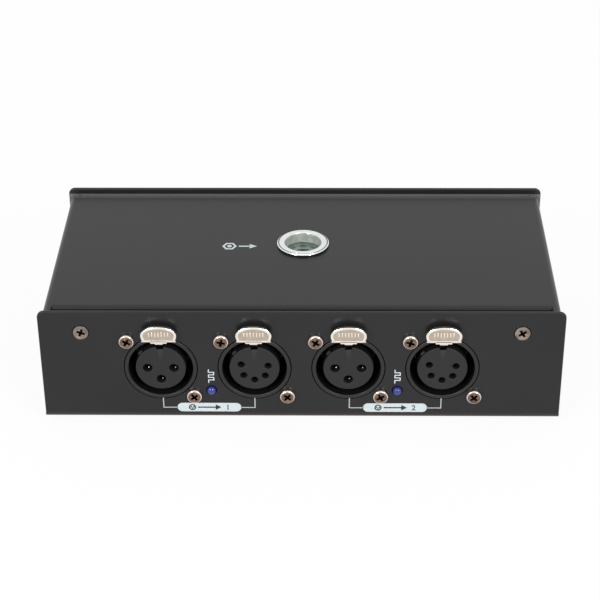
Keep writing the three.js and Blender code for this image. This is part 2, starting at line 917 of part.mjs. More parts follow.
// Insert of an input plug with its round pins
function plug_insert(poles) {
  const disc_radius = plug_bore - plug_disc_gap;
  const back = plug_length + plug_flange;
  const disc = turned([
    [0, plug_floor],
    [disc_radius, plug_floor],
    [disc_radius, plug_length],
    [plug_flange_radius, plug_length],
    [plug_flange_radius, back],
    [0, back],
  ]);
  const pins = pole_places(poles, -1).map(([x, z]) => {
    const profile = [
      [0, plug_pin_tip],
      [poles.pin - plug_pin_round, plug_pin_tip],
      [poles.pin, plug_pin_tip + plug_pin_round],
      [poles.pin, plug_floor + overrun],
      [0, plug_floor + overrun],
    ];
    return solid(turned(profile, pin_sides).translate(x, 0, z));
  });
  const legs = solder_legs(poles.angles.length, back - leg_thickness, plug_flange_radius);
  return join(solid(disc), ...pins, ...legs);
}

// Status lamp on two bent wires that stand on the board
function status_lamp() {
  const centre = lamp_radius - lamp_proud;
  const dome = Array.from({ length: curve_steps + 1 }, (_, i) => {
    const angle = (i / curve_steps) * (Math.PI / 2);
    return [lamp_radius * Math.sin(angle), centre - lamp_radius * Math.cos(angle)];
  });
  const body = turned(
    [
      ...dome,
      [lamp_radius, lamp_body - lamp_flange],
      [lamp_flange_radius, lamp_body - lamp_flange],
      [lamp_flange_radius, lamp_body],
      [0, lamp_body],
    ],
    rod_sides,
  );
  const bend = lamp_body + lamp_wire_reach;
  const wires = [-lamp_wire_spread, lamp_wire_spread].map((x) => {
    const left = x - lamp_wire / 2;
    const right = x + lamp_wire / 2;
    const level = block([left, lamp_body - lamp_flange, -lamp_wire / 2], [right, bend, lamp_wire / 2]);
    const drop = block([left, bend - lamp_wire, board_top - lamp_height], [right, bend, lamp_wire / 2]);
    return level.add(drop);
  });
  return join(solid(body), ...wires);
}

// Moulded mains inlet: flange with two ears, plug mouth with cut corners, and a drawer bay under it
const mouth_z = (drawer_height + 2 * drawer_gap + inlet_wall) / 2;
const drawer_z = -(inlet_mouth_height + inlet_wall) / 2;

function inlet_flange_outline() {
  const half = inlet_flange_width / 2;
  const rise = inlet_flange_height / 2;
  const angle = THREE.MathUtils.degToRad(inlet_ear_angle);
  const shape = new THREE.Shape();
  shape.moveTo(-half, -rise);
  shape.lineTo(half, -rise);
  shape.absarc(inlet_screw_spread, 0, inlet_ear_radius, -angle, angle, false);
  shape.lineTo(half, rise);
  shape.lineTo(-half, rise);
  shape.absarc(-inlet_screw_spread, 0, inlet_ear_radius, Math.PI - angle, Math.PI + angle, false);
  return shape;
}

function inlet_mouth_outline() {
  const half = inlet_mouth_width / 2;
  const rise = inlet_mouth_height / 2;
  return outline([
    [-half, mouth_z - rise],
    [half, mouth_z - rise],
    [half, mouth_z + rise - inlet_mouth_cut],
    [half - inlet_mouth_cut, mouth_z + rise],
    [-half + inlet_mouth_cut, mouth_z + rise],
    [-half, mouth_z + rise - inlet_mouth_cut],
  ]);
}

// Places of the blades in the mouth: two side ones and the raised earth one, which leads
const blade_places = {
  inlet_blade_left: [-blade_spread, -blade_offset, 0],
  inlet_blade_right: [blade_spread, -blade_offset, 0],
  inlet_blade_earth: [0, blade_offset, earth_lead],
};

function inlet_housing() {
  const flange = solid(front_plate(inlet_flange_outline(), -inlet_flange, 0));
  const half = inlet_body_width / 2;
  const rise = inlet_body_height / 2;
  const body = block([-half, -overrun, -rise], [half, inlet_body_depth, rise]);
  const mouth = solid(front_plate(inlet_mouth_outline(), -inlet_flange - overrun, inlet_mouth_depth));
  const bay_half = drawer_width / 2 + drawer_gap;
  const bay_rise = drawer_height / 2 + drawer_gap;
  const bay = block(
    [-bay_half, -inlet_flange - overrun, drawer_z - bay_rise],
    [bay_half, drawer_depth - inlet_flange + drawer_gap, drawer_z + bay_rise],
  );
  const pry = block(
    [-pry_width / 2, -inlet_flange - overrun, -rise - overrun],
    [pry_width / 2, -inlet_flange + pry_depth, drawer_z],
  );
  const slot_half_width = blade_width / 2 + blade_gap;
  const slot_half_height = blade_height / 2 + blade_gap;
  const slots = Object.values(blade_places).map(([x, z]) =>
    block(
      [x - slot_half_width, 0, mouth_z + z - slot_half_height],
      [x + slot_half_width, inlet_body_depth + overrun, mouth_z + z + slot_half_height],
    ),
  );
  const sinks = [-inlet_screw_spread, inlet_screw_spread].map((x) =>
    countersink(
      x,
      0,
      -inlet_flange,
      1,
      inlet_screw_head + screw_gap,
      inlet_screw_cone,
      inlet_screw_shank + screw_gap,
    ),
  );
  return cut(flange.add(body), mouth, bay, pry, ...slots, ...sinks);
}

// Flat blade with a bevelled tip and a tail for its wire
function inlet_blade(lead) {
  const tip = blade_tip - lead;
  const rise = blade_height / 2;
  const blade = outline([
    [tip, -rise + blade_tip_bevel],
    [tip + blade_tip_bevel, -rise],
    [blade_tail, -rise],
    [blade_tail, rise],
    [tip + blade_tip_bevel, rise],
    [tip, rise - blade_tip_bevel],
  ]);
  return side_plate(blade, blade_width);
}

// Fuse drawer, a tray with a cradle across it, and the fuse that lies there
function fuse_drawer() {
  const half = drawer_width / 2;
  const rise = drawer_height / 2;
  const tray = block([-half, -inlet_flange, -rise], [half, drawer_depth - inlet_flange, rise]);
  const reach = fuse_radius + fuse_gap;
  const cradle = block(
    [-fuse_length / 2 - fuse_gap, fuse_depth - reach, -fuse_radius - fuse_seat_gap],
    [fuse_length / 2 + fuse_gap, fuse_depth + reach, rise + overrun],
  );
  const grip = block(
    [-pry_width / 2, -inlet_flange - overrun, -rise - overrun],
    [pry_width / 2, -inlet_flange + pry_depth, -rise + pry_height],
  );
  const relief = block(
    [-half + tray_wall, 0, 0],
    [half - tray_wall, fuse_depth - reach - tray_wall, rise + overrun],
  );
  return cut(tray, cradle, grip, relief);
}

function fuse() {
  const half = fuse_length / 2;
  const glass = fuse_radius - fuse_glass_step;
  const cap = half - fuse_cap_length;
  const profile = [
    [0, -half],
    [fuse_radius, -half],
    [fuse_radius, -cap],
    [glass, -cap],
    [glass, cap],
    [fuse_radius, cap],
    [fuse_radius, half],
    [0, half],
  ];
  return solid(turned(profile, pin_sides).rotateZ(Math.PI / 2));
}

// Circuit board, stepped back in front of the inlet
function circuit_board() {
  const shape = outline([
    [-board_half, board_front],
    [board_half, board_front],
    [board_half, board_rear],
    [board_step_x, board_rear],
    [board_step_x, board_step_y],
    [-board_half, board_step_y],
  ]);
  const plate = flat_plate(shape, board_top - board_thickness, board_top);
  const holes = standoff_places.map(([x, y]) =>
    post_at(x, y, standoff_bore + screw_gap, 0, board_top + overrun, pin_sides),
  );
  return cut(plate, ...holes);
}

// Converter transformer: a winding on a bobbin, between the limbs of its core
function supply_transformer() {
  const { x, y, z } = transformer_size;
  const shelf = bobbin_flange;
  const crown = z - core_window;
  const core = block([-x / 2, -core_thickness / 2, shelf], [x / 2, core_thickness / 2, z]);
  const base = block([-x / 2, -y / 2, 0], [x / 2, y / 2, shelf]);
  const inner = x / 2 - core_window;
  const flange = block([-inner, -y / 2, crown - bobbin_flange], [inner, y / 2, crown]);
  const coil = rod(inner, shelf - overrun, crown - overrun).scale(1, 1, y / x);
  return join(core, base, flange, solid(coil.rotateX(Math.PI / 2)));
}

// Upright smoothing capacitor with its rolled groove
function smoothing_capacitor() {
  const r = capacitor_radius;
  const profile = [
    [0, 0],
    [r, 0],
    [r, capacitor_groove_height - capacitor_groove],
    [r - capacitor_groove, capacitor_groove_height],
    [r, capacitor_groove_height + capacitor_groove],
    [r, capacitor_length - capacitor_round],
    [r - capacitor_round, capacitor_length],
    [0, capacitor_length],
  ];
  return solid(turned(profile, rod_sides).rotateX(Math.PI / 2));
}

// Line driver in a moulded package with two rows of legs
function line_driver() {
  const { x, y, z } = chip_size;
  const package_body = block([-x / 2, -y / 2, chip_leg], [x / 2, y / 2, z]);
  const reach = y / 2 + chip_leg_reach;
  const crown = z / 2 + chip_leg;
  const staple = outline([
    [-reach, 0],
    [-reach + chip_leg, 0],
    [-reach + chip_leg, z / 2],
    [reach - chip_leg, z / 2],
    [reach - chip_leg, 0],
    [reach, 0],
    [reach, crown],
    [-reach, crown],
  ]);
  const legs = Array.from({ length: chip_leg_count }, (_, i) => {
    return side_plate(staple, chip_leg, (i - (chip_leg_count - 1) / 2) * chip_leg_pitch);
  });
  return join(package_body, ...legs);
}

function at(mesh, x, y, z) {
  mesh.position.set(x, y, z);
  return mesh;
}

// One output socket, drawn from its centre on the panel's front face
function socket_unit(name, poles, x) {
  const unit = new THREE.Group();
  unit.add(piece(`${name}_housing`, socket_housing(), moulded_black));
  unit.add(piece(`${name}_insert`, socket_insert(poles), insert_black));
  unit.add(piece(`${name}_latch`, latch(), nickel));
  unit.add(piece(`${name}_latch_pin`, latch_pin(), tin));
  ears.forEach(([ex, ez], i) => {
    const screw = pan_screw(pan_head_radius, pan_head_height, pan_head_rim, pan_shank, pan_length);
    unit.add(at(piece(`${name}_screw_${["upper", "lower"][i]}`, screw, screw_nickel), ex, 0, ez));
  });
  unit.position.set(x, front, socket_height);
  return unit;
}

// One input plug, turned to face the rear
function plug_unit(name, poles, x) {
  const unit = new THREE.Group();
  unit.add(piece(`${name}_housing`, plug_housing(), moulded_black));
  unit.add(piece(`${name}_insert`, plug_insert(poles), insert_black));
  ears.forEach(([ex, ez], i) => {
    const screw = pan_screw(pan_head_radius, pan_head_height, pan_head_rim, pan_shank, pan_length);
    unit.add(at(piece(`${name}_screw_${["upper", "lower"][i]}`, screw, screw_nickel), ex, 0, ez));
  });
  unit.position.set(x, rear, socket_height);
  unit.rotation.z = Math.PI;
  return unit;
}

function inlet_unit() {
  const unit = new THREE.Group();
  unit.add(piece("inlet_housing", inlet_housing(), moulded_black));
  for (const [name, [x, z, lead]] of Object.entries(blade_places)) {
    unit.add(at(piece(name, inlet_blade(lead), tin), x, 0, mouth_z + z));
  }
  unit.add(at(piece("fuse_drawer", fuse_drawer(), moulded_black), 0, 0, drawer_z));
  unit.add(at(piece("fuse", fuse(), glass_clear), 0, fuse_depth, drawer_z));
  [-inlet_screw_spread, inlet_screw_spread].forEach((x, i) => {
    const screw = sunk_screw(inlet_screw_head, inlet_screw_cone, inlet_screw_shank, inlet_screw_length);
    unit.add(at(piece(`inlet_screw_${i + 1}`, screw, dark_screw), x, -inlet_flange, 0));
  });
  unit.position.set(inlet_x, rear, inlet_height);
  unit.rotation.z = Math.PI;
  return unit;
}

// Depth of the transformer's middle, between the sockets' inserts and the tails of the inlet's blades
function transformer_y() {
  const sockets_end = front + cavity_depth + rear_wall + insert_flange;
  const blades_end = rear - blade_tail;
  const room = blades_end - sockets_end - transformer_size.y;
  return blades_end - transformer_room_share * room - transformer_size.y / 2;
}

function board_unit() {
  const unit = new THREE.Group();
  unit.add(piece("circuit_board", circuit_board(), board_green));
  const left = -case_width / 2;
  const transformer = piece("supply_transformer", supply_transformer(), ferrite);
  const capacitor = piece("smoothing_capacitor", smoothing_capacitor(), ferrite);
  unit.add(at(transformer, left + transformer_inset, transformer_y(), board_top));
  unit.add(at(capacitor, left + capacitor_inset, -capacitor_forward, board_top));
  [1, 2].forEach((n) => {
    const driver = piece(`line_driver_${n}`, line_driver(), moulded_black);
    unit.add(at(driver, n * chip_spacing, -chip_forward, board_top));
  });
  standoff_places.slice(2).forEach(([x, y], i) => {
    const length = board_thickness + standoff_height - board_screw_gap;
    const screw = pan_screw(board_screw_head, board_screw_head_height, pan_head_rim, standoff_bore, length);
    const mesh = at(piece(`board_screw_${i + 1}`, screw, tin), x, y, board_top);
    mesh.rotation.x = -Math.PI / 2;
    unit.add(mesh);
  });
  return unit;
}

function case_unit() {
  const unit = new THREE.Group();
  unit.add(piece("chassis", chassis(), steel_black));
  unit.add(piece("cover", cover(), steel_black));
  unit.add(at(piece("rivet_nut", rivet_nut(), zinc), 0, nut_behind_middle, cover_top));
  const foot_x = case_width / 2 - foot_inset_x;
  const foot_y = case_depth / 2 - foot_inset_y;
  const corners = { left: -1, right: 1 };
  const ends = { front: -1, rear: 1 };
  for (const [end, along] of Object.entries(ends)) {
    for (const [side, across] of Object.entries(corners)) {
      const rest = piece(`foot_${end}_${side}`, foot(), rubber);
      unit.add(at(rest, across * foot_x, along * foot_y, -foot_height));
      const screw = sunk_screw(cover_screw_head, cover_screw_cone, cover_screw_shank, cover_screw_length);
      const mesh = piece(`cover_screw_${end}_${side}`, screw, dark_screw);
      at(mesh, across * cover_screw_x, (along * case_depth) / 2, cover_screw_z);
      if (along > 0) mesh.rotation.z = Math.PI;
      unit.add(mesh);
    }
  }
  return unit;
}

function lamps() {
  return lamp_places.map((x, i) => {
    const lamp = piece(`status_lamp_${i + 1}`, status_lamp(), lamp_blue);
    return at(lamp, x, front, lamp_height);
  });
}

const splitter = new THREE.Group();
splitter.name = "splitter";
const raised = new THREE.Group();
raised.position.z = foot_height;
raised.add(case_unit(), board_unit(), inlet_unit(), ...lamps());
socket_places.forEach((x, i) => {
  const poles = i % 2 === 0 ? poles_3 : poles_5;
  const name = `output_${Math.floor(i / 2) + 1}_${poles.angles.length}pole`;
  raised.add(socket_unit(name, poles, x));
});
plug_places.forEach((x, i) => {
  const poles = i % 2 === 0 ? poles_3 : poles_5;
  raised.add(plug_unit(`input_${poles.angles.length}pole`, poles, x));
});
splitter.add(raised);

export default splitter;
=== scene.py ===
# Looks of a stage lighting data splitter: a folded black case with latching output sockets along its front.
# Pieces are drawn in millimetres from their own centre, then placed in metres on the frame.
import math

import bmesh
import bpy
from mathutils import Matrix, Vector


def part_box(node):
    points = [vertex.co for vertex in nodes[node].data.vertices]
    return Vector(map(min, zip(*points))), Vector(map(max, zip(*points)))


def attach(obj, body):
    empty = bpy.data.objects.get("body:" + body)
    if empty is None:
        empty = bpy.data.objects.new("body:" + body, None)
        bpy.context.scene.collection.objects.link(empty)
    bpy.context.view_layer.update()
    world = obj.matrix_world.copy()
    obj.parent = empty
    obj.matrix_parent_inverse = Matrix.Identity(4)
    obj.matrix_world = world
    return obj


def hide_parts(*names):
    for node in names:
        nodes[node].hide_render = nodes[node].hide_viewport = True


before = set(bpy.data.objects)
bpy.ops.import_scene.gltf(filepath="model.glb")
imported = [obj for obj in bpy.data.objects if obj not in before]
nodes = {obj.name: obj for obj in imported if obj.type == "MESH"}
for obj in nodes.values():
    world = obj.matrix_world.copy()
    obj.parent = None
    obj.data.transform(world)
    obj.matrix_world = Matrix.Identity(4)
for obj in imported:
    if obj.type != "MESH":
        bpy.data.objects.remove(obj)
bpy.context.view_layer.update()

# Units and facets
MM = 0.001
weld = 1e-4
ring_steps = 96
small_steps = 40
bend_steps = 8
roll_steps = 14
ease_steps = 3
smooth_angle = 38
overrun = 1

# Case
sheet = 1.2
through = (-overrun, sheet + overrun)
bend_radius = 1.8
bend_riser = 6
seam = 0.3
panel_top_corner = 2
paint_ease = 0.42
front_fold = 1.3
front_fold_back = 4
rear_fold = 1.35
fold_drop = 3.8
fold_end = 2.4
edge_reach = 6
hair = 0.01
cover_screw_head = 2.2
cover_screw_gap = 0.34
cover_screw_cone = 1.1
cover_screw_shank = 1.35
screw_hole = 1.55
strip_width = 12
strip_length = 11
strip_corner = 1.5
standoff_radius = 2.75
standoff_bore = 1.35
standoff_height = 2.75
standoff_places = ((-62, -20), (62, -20), (-62, 7.5), (62, 25))
inlet_half_width = 13.7
inlet_half_height = 13.4
inlet_screw_spread = 20

# Connectors
collar_radius = 10.45
collar_proud = 0.2
collar_ease = 0.36
panel_hole_gap = 0.24
liner_radius = 9.3
liner_wall = 0.3
cavity_depth = 14.5
ear_offset = 9.4
pin_height = 12.3
latch_slot_half = 2.65
latch_slot_top = 13.72
latch_room_half = 4.45
latch_room_top = 14.2
insert_radius = 7.225
insert_proud = 0.1
insert_length = 16
insert_flange_radius = 8.6
insert_flange = 1.2
mouth_half = 1
mouth_floor = 6.3
mouth_depth = 0.5
channel_half = 1.45
channel_floor = 5.5
channel_slope = 3.54
channel_reach = 20.1
key_width = 1.5
key_rise = 0.7
key_length = 11
key_angle = 50
contact_depth = 12
contact_sleeve = 4
contact_wall = 0.3
contact_gap = 0.12
poles_3 = {"angles": (-90, 0, 90), "ring": 3.81, "hole": 1.35, "pin": 1.2, "leaf": 0.24}
poles_5 = {"angles": (-108, -52, 0, 50, 102), "ring": 4, "hole": 1, "pin": 0.95, "leaf": 0}
hole_ease = 0.14
leaf_depth = 1.1
leaf_aside = 0.32
leaf_drop = 0.55
leaf_ease = 0.12
sleeve_ease = 0.1
insert_ease = 0.28
key_start = 0.4
key_ease = 0.2
rim_width = 0.25
rim_depth = 0.12
cut_gap = 0.02
leg_gap = 0.1

# Latch tab
tab_half_width = 5.075
tab_rise = 2.85
tab_fall = 4.2
tab_centre = 12.5
tab_flat = 10.6
tab_front = -2.5
tab_back = -1.5
tab_rim = 0.42
tab_sink = 0.14
ear_half = 4.5
ear_reach = 0.5
ear_height = 0.3
ear_drop = 0.25
lip_width = 4.7
lip_height = 0.75
tongue_width = 2.3
tongue_height = 0.5
grip_ribs = 7
grip_pitch = 0.9
grip_width = 0.38
grip_height = 1.5
grip_lift = 0.35
grip_ease = 0.11
tab_edge = (0.14, 0.1)
tab_step = 0.12
tab_foot_ease = 0.08

# Input plugs
plug_bore = 8.1
plug_length = 18.5
plug_floor = 14
plug_disc_radius = 7.9
plug_flange_radius = 9.4
plug_flange = 1.2
plug_pin_tip = 2.5
plug_pin_ease = 0.55
plug_ease = 0.2
window_width = 3.2
window_rise = 1.2
window_length = 9

# Screws
pan_radius = 2.25
pan_height = 1.35
pan_shank = 1.2
pan_length = 7
pan_face_share = 0.84
recess_half = 1.62
recess_width = 0.82
recess_depth = 1.15
recess_taper_share = 0.5
recess_thin_share = 0.7
recess_well = (0.72, 0.62, 0.3)
cover_recess_depth = 1.2
head_ease = 0.22
sunk_rim = 0.15
sunk_length = 7
inlet_screw_head = 2.8
inlet_screw_rim = 2.618
inlet_screw_cone = 1.6
inlet_recess = (1.6, 1.3)

# Clamp nut
nut_flange_radius = 7.875
nut_flange = 0.9
nut_side = 0.62
nut_ease = 0.1
nut_groove_radius = 7.35
nut_groove_half = 0.11
nut_groove_depth = 0.3
nut_lip_radius = 5.72
nut_lead_radius = 5.5
nut_lead_depth = 2.5
nut_thread_radius = 4.4
nut_thread_crest = 5.05
nut_thread_pitch = 1.5
nut_thread_rise = 0.675
nut_thread_run = 1.35
nut_body_radius = 6.45
nut_bulb_radius = 7.6
nut_bulb_height = 3
nut_length = 15.5

# Status lamp
lamp_radius = 1.42
lamp_hole_gap = 0.2
lamp_proud = 1.35
lamp_body = 4
lamp_flange = 0.8
lamp_flange_radius = 1.9

# Printing on the panels
ink = 0.035
lozenge_half_width = 9.3
lozenge_half_height = 1.5
lozenge_places = (-26.93, 27.18)
lozenge_height = 3.83
lead_width = 0.3
lead_height = 3.75
lead_reach = 13.32
lead_tops = (7.89, 7.61)
numeral_height = 1.75
numeral_weight = 0.02
glyph_cap_share = 0.69
sign_dots = ((-0.4, 0.1), (0.4, 0.1), (0, -0.35))
socket_sign = (1.05, 0.7, -4.95)
arrow_sign = (1.1, 2.4)
shaft_sign = (-3.3, 2.1, 0.21)
figure_sign = 5.4
nut_sign = (2.2, 1.5, 0.7)
nut_sign_place = (-22.2, 3)
nut_arrow = (1.45, 6.8)
nut_shaft = (1.75, 0.3, 4.55)
pulse_low = 12.55
pulse_high = 16.95
pulse_half_width = 0.75
pulse_half_stroke = 0.15

# Rubber feet
foot_rim_ease = 0.5
foot_taper = 0.25
foot_well = 0.7

# Studio
room_light = 0.6
floor_light = 0.93
softbox_places = (("left", -0.75), ("right", 0.75))
softbox_size = 0.38
floor_half = 4
paper_shade = 0.9

# The case, read from the frame
def corners(node):
    low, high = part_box(node)
    return low / MM, high / MM


case_low, case_high = corners("chassis")
cover_low, cover_high = corners("cover")
half_width = case_high.x
front_face = case_low.y
rear_face = case_high.y
panel_foot = case_low.z
panel_top = case_high.z
base_half = cover_high.x - sheet - seam
fold_foot = cover_high.z - fold_drop
outputs = [f"output_{pair}_{poles}pole" for pair in (1, 2) for poles in (3, 5)]
inputs = ["input_3pole", "input_5pole"]


def middle(node):
    low, high = corners(node)
    return (low + high) / 2


# Axis of each connector, at its panel's outer face
socket_axis = middle(outputs[0] + "_latch_pin").z - pin_height
seats = {name: Vector((middle(name + "_insert").x, front_face, socket_axis)) for name in outputs}
seats |= {name: Vector((middle(name + "_insert").x, rear_face, socket_axis)) for name in inputs}
lamp_places = [middle("status_lamp_1").x, middle("status_lamp_2").x]
lamp_axis = corners("status_lamp_1")[1].z - lamp_flange_radius
cover_screw_x = middle("cover_screw_front_right").x
cover_screw_z = middle("cover_screw_front_right").z


# Mesh work
def block(low, high):
    """A block between two corners."""
    low, high = Vector(low), Vector(high)
    bm = bmesh.new()
    bmesh.ops.create_cube(bm, size=1)
    bmesh.ops.scale(bm, vec=high - low, verts=bm.verts)
    return moved(bm, *(low + high) / 2)


def plate(half_x, half_y):
    """A flat sheet about its centre."""
    bm = bmesh.new()
    bmesh.ops.create_grid(bm, x_segments=1, y_segments=1, size=1)
    bmesh.ops.scale(bm, vec=(half_x, half_y, 1), verts=bm.verts)
    return bm


def outward(bm):
    bmesh.ops.recalc_face_normals(bm, faces=bm.faces)
    return bm


def merged(bm):
    bmesh.ops.remove_doubles(bm, verts=bm.verts, dist=weld)
    return bm


def ring(bore, radius, near, far):
    """Half section of a ring between two depths, or of a rod where the bore is nought."""
    return [(bore, near), (radius, near), (radius, far), (bore, far)]


def flanged(radius, near, far, rim, thick):
    """Half section of a solid disc with a flange behind it."""
    return [(0, near), (radius, near), (radius, far), (rim, far), (rim, far + thick), (0, far + thick)]


def eased(points, radius, loop=False):
    """A half section with its corners rounded."""
    made = []
    count = len(points)
    for i, point in enumerate(points):
        if not loop and i in (0, count - 1):
            made.append(tuple(point))
            continue
        here = Vector(point)
        before = Vector(points[i - 1]) - here
        after = Vector(points[(i + 1) % count]) - here
        reach = min(radius, before.length * 0.45, after.length * 0.45)
        start = here + before.normalized() * reach
        end = here + after.normalized() * reach
        for step in range(ease_steps + 1):
            t = step / ease_steps
            made.append(tuple(start * (1 - t) ** 2 + here * 2 * t * (1 - t) + end * t**2))
    return made


def turned(section, steps=ring_steps):
    """A body turned about the depth axis, from a half section of radius and depth."""
    bm = bmesh.new()
    verts = [bm.verts.new((radius, depth, 0)) for radius, depth in section]
    on_axis = section[0][0] == 0 and section[-1][0] == 0
    following = verts[1:] if on_axis else verts[1:] + verts[:1]
    edges = [bm.edges.new(pair) for pair in zip(verts, following)]
    around = {"cent": (0, 0, 0), "axis": (0, 1, 0), "dvec": (0, 0, 0), "angle": math.tau}
    bmesh.ops.spin(bm, geom=verts + edges, steps=steps, use_merge=True, use_duplicate=False, **around)
    return outward(merged(bm))


def rod(radius, start, end, x=0, z=0, steps=small_steps):
    """A plain round rod along the depth axis."""
    return moved(turned(ring(0, radius, start, end), steps), x, 0, z)


def pulled(bm, made, step):
    """Moves what an extrusion made."""
    verts = [v for v in made["geom"] if isinstance(v, bmesh.types.BMVert)]
    bmesh.ops.translate(bm, vec=step, verts=verts)


def raised(bm, step):
    """Gives a flat shape a thickness."""
    pulled(bm, bmesh.ops.extrude_face_region(bm, geom=bm.faces[:]), step)
    return outward(bm)


def at_each(places, section):
    """The same turned body at several places of a connector's face."""
    return joined(*[moved(turned(section, small_steps), x, 0, z) for x, z in places])


def drawn_out(section, low, high):
    """A closed section of depth and height, drawn out from one side to another."""
    bm = bmesh.new()
    bm.faces.new([bm.verts.new((low, y, z)) for y, z in section])
    return outward(merged(raised(bm, (high - low, 0, 0))))


def moved(bm, x=0, y=0, z=0):
    bmesh.ops.translate(bm, vec=(x, y, z), verts=bm.verts)
    return bm


def spun(bm, angle, axis):
    bmesh.ops.rotate(bm, cent=(0, 0, 0), matrix=Matrix.Rotation(angle, 3, axis), verts=bm.verts)
    return bm


def bevelled(bm, edges, offset, segments, affect="EDGES"):
    """Rounds some edges, or corners, of a body."""
    kind = {"offset_type": "OFFSET", "profile": 0.5, "material": -1, "clamp_overlap": True}
    bmesh.ops.bevel(bm, geom=edges, offset=offset, segments=segments, affect=affect, **kind)
    return bm


def sharp_edges(bm, least=50):
    """Edges where two faces meet at more than an angle."""
    limit = math.radians(least)
    return [e for e in bm.edges if len(e.link_faces) == 2 and e.calc_face_angle(0) > limit]


def running(bm, axis):
    """Edges that run along one axis."""
    return [e for e in bm.edges if abs((e.verts[0].co - e.verts[1].co).normalized()[axis]) > 0.99]


def meshed(bm, name="work"):
    """Mesh data from a body, which is used up."""
    mesh = bpy.data.meshes.new(name)
    bm.to_mesh(mesh)
    bm.free()
    return mesh


def shown(name, data):
    """A new object in the scene."""
    thing = bpy.data.objects.new(name, data)
    bpy.context.scene.collection.objects.link(thing)
    return thing


def combined(body, tools, operation="DIFFERENCE"):
    """A body with tools cut from it, or joined to it."""
    things = [shown("work", meshed(bm)) for bm in (body, *tools)]
    for tool in things[1:]:
        step = things[0].modifiers.new("step", "BOOLEAN")
        step.operation = operation
        step.solver = "EXACT"
        step.object = tool
    result = bmesh.new()
    result.from_object(things[0], bpy.context.evaluated_depsgraph_get())
    for thing in things:
        bpy.data.meshes.remove(thing.data)
    return result


def joined(first, *others):
    """Closed bodies side by side in one mesh."""
    for other in others:
        mesh = meshed(other)
        first.from_mesh(mesh)
        bpy.data.meshes.remove(mesh)
    return first


def copied(node, place=(0, 0, 0), turn=0.0):
    """A solid of the frame, drawn from a place on the case, with its loose triangles merged."""
    bm = bmesh.new()
    bm.from_mesh(nodes[node].data)
    away = Matrix.Rotation(-turn, 4, "Z") @ Matrix.Translation(-Vector(place))
    bm.transform(away @ Matrix.Scale(1 / MM, 4))
    return merged(bm)


def cut_off(bm, place, direction):
    """Takes away what lies behind a plane."""
    geometry = bm.verts[:] + bm.edges[:] + bm.faces[:]
    cut = {"plane_co": place, "plane_no": direction, "clear_inner": True, "dist": weld}
    bmesh.ops.bisect_plane(bm, geom=geometry, **cut)


def beyond(bm, place, direction):
    """What lies beyond a plane, closed where the plane cuts it."""
    cut_off(bm, place, direction)
    bmesh.ops.triangle_fill(bm, use_beauty=True, edges=[e for e in bm.edges if e.is_boundary])
    return outward(bm)


def behind(depth, node, place, turn=0.0):
    """The part of a solid of the frame that lies behind a depth."""
    return beyond(copied(node, place, turn), (0, depth + cut_gap, 0), (0, 1, 0))


def marked(bm, index, test=lambda centre: True):
    """Gives another finish to the faces that pass a test of their centre."""
    for face in bm.faces:
        if test(face.calc_center_median()):
            face.material_index = index
    return bm


def piece(name, bm, finishes, replaced=(), place=(0, 0, 0), turn=0.0, body="splitter"):
    """A finished piece, moved to its place in metres, that rides on a body of the frame."""
    there = Matrix.Translation(Vector(place) * MM) @ Matrix.Rotation(turn, 4, "Z")
    bm.transform(there @ Matrix.Scale(MM, 4))
    mesh = meshed(bm, name)
    for finish in finishes:
        mesh.materials.append(finish)
    mesh.shade_smooth()
    mesh.set_sharp_from_angle(angle=math.radians(smooth_angle))
    made = shown(name, mesh)
    made.modifiers.new("flat_faces_stay_flat", "WEIGHTED_NORMAL").keep_sharp = True
    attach(made, body)
    if replaced:
        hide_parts(*replaced)
    return made


# Finishes
def colour(red, green, blue):
    """A colour from its screen values of 0 to 255."""
    shares = [value / 255 for value in (red, green, blue)]
    return (*[s / 12.92 if s <= 0.04045 else ((s + 0.055) / 1.055) ** 2.4 for s in shares], 1.0)


class Value:
    """A number, colour or shader in a node tree: arithmetic on it adds the nodes that work it out."""

    def __init__(self, tree, socket):
        self.tree = tree
        self.socket = socket

    def maths(self, operation, first, second=0.0):
        return self.tree.add("ShaderNodeMath", {"operation": operation}, {0: first, 1: second})

    def __add__(self, other):
        return self.maths("ADD", self, other)

    __radd__ = __add__

    def __sub__(self, other):
        return self.maths("SUBTRACT", self, other)

    def __rsub__(self, other):
        return self.maths("SUBTRACT", other, self)

    def __mul__(self, other):
        return self.maths("MULTIPLY", self, other)

    __rmul__ = __mul__

    def __truediv__(self, other):
        return self.maths("DIVIDE", self, other)

    def __lt__(self, other):
        return self.maths("LESS_THAN", self, other)

    def __gt__(self, other):
        return self.maths("GREATER_THAN", self, other)

    def __abs__(self):
        return self.maths("ABSOLUTE", self)


class Tree:
    """A node tree of a material or of the world."""

    def __init__(self, owner):
        owner.use_nodes = True
        self.nodes = owner.node_tree.nodes
        self.links = owner.node_tree.links

    def feed(self, socket, value):
        if isinstance(value, Value):
            self.links.new(value.socket, socket)
        else:
            socket.default_value = value

    def add(self, kind, settings=None, sockets=None, output=0):
        """Adds a node, makes its settings, then feeds its sockets."""
        node = self.nodes.new(kind)
        for name, setting in (settings or {}).items():
            setattr(node, name, setting)
        for key, value in (sockets or {}).items():
            self.feed(node.inputs[key], value)
        return Value(self, node.outputs[output]) if len(node.outputs) else None

    def seen(self):
        """One for the rays that show the background: straight, mirrored and through glass."""
        kinds = ("Camera", "Glossy", "Transmission")
        rays = [self.add("ShaderNodeLightPath", output=f"Is {kind} Ray") for kind in kinds]
        most = rays[0].maths("MAXIMUM", rays[0], rays[1])
        return most.maths("MAXIMUM", most, rays[2])


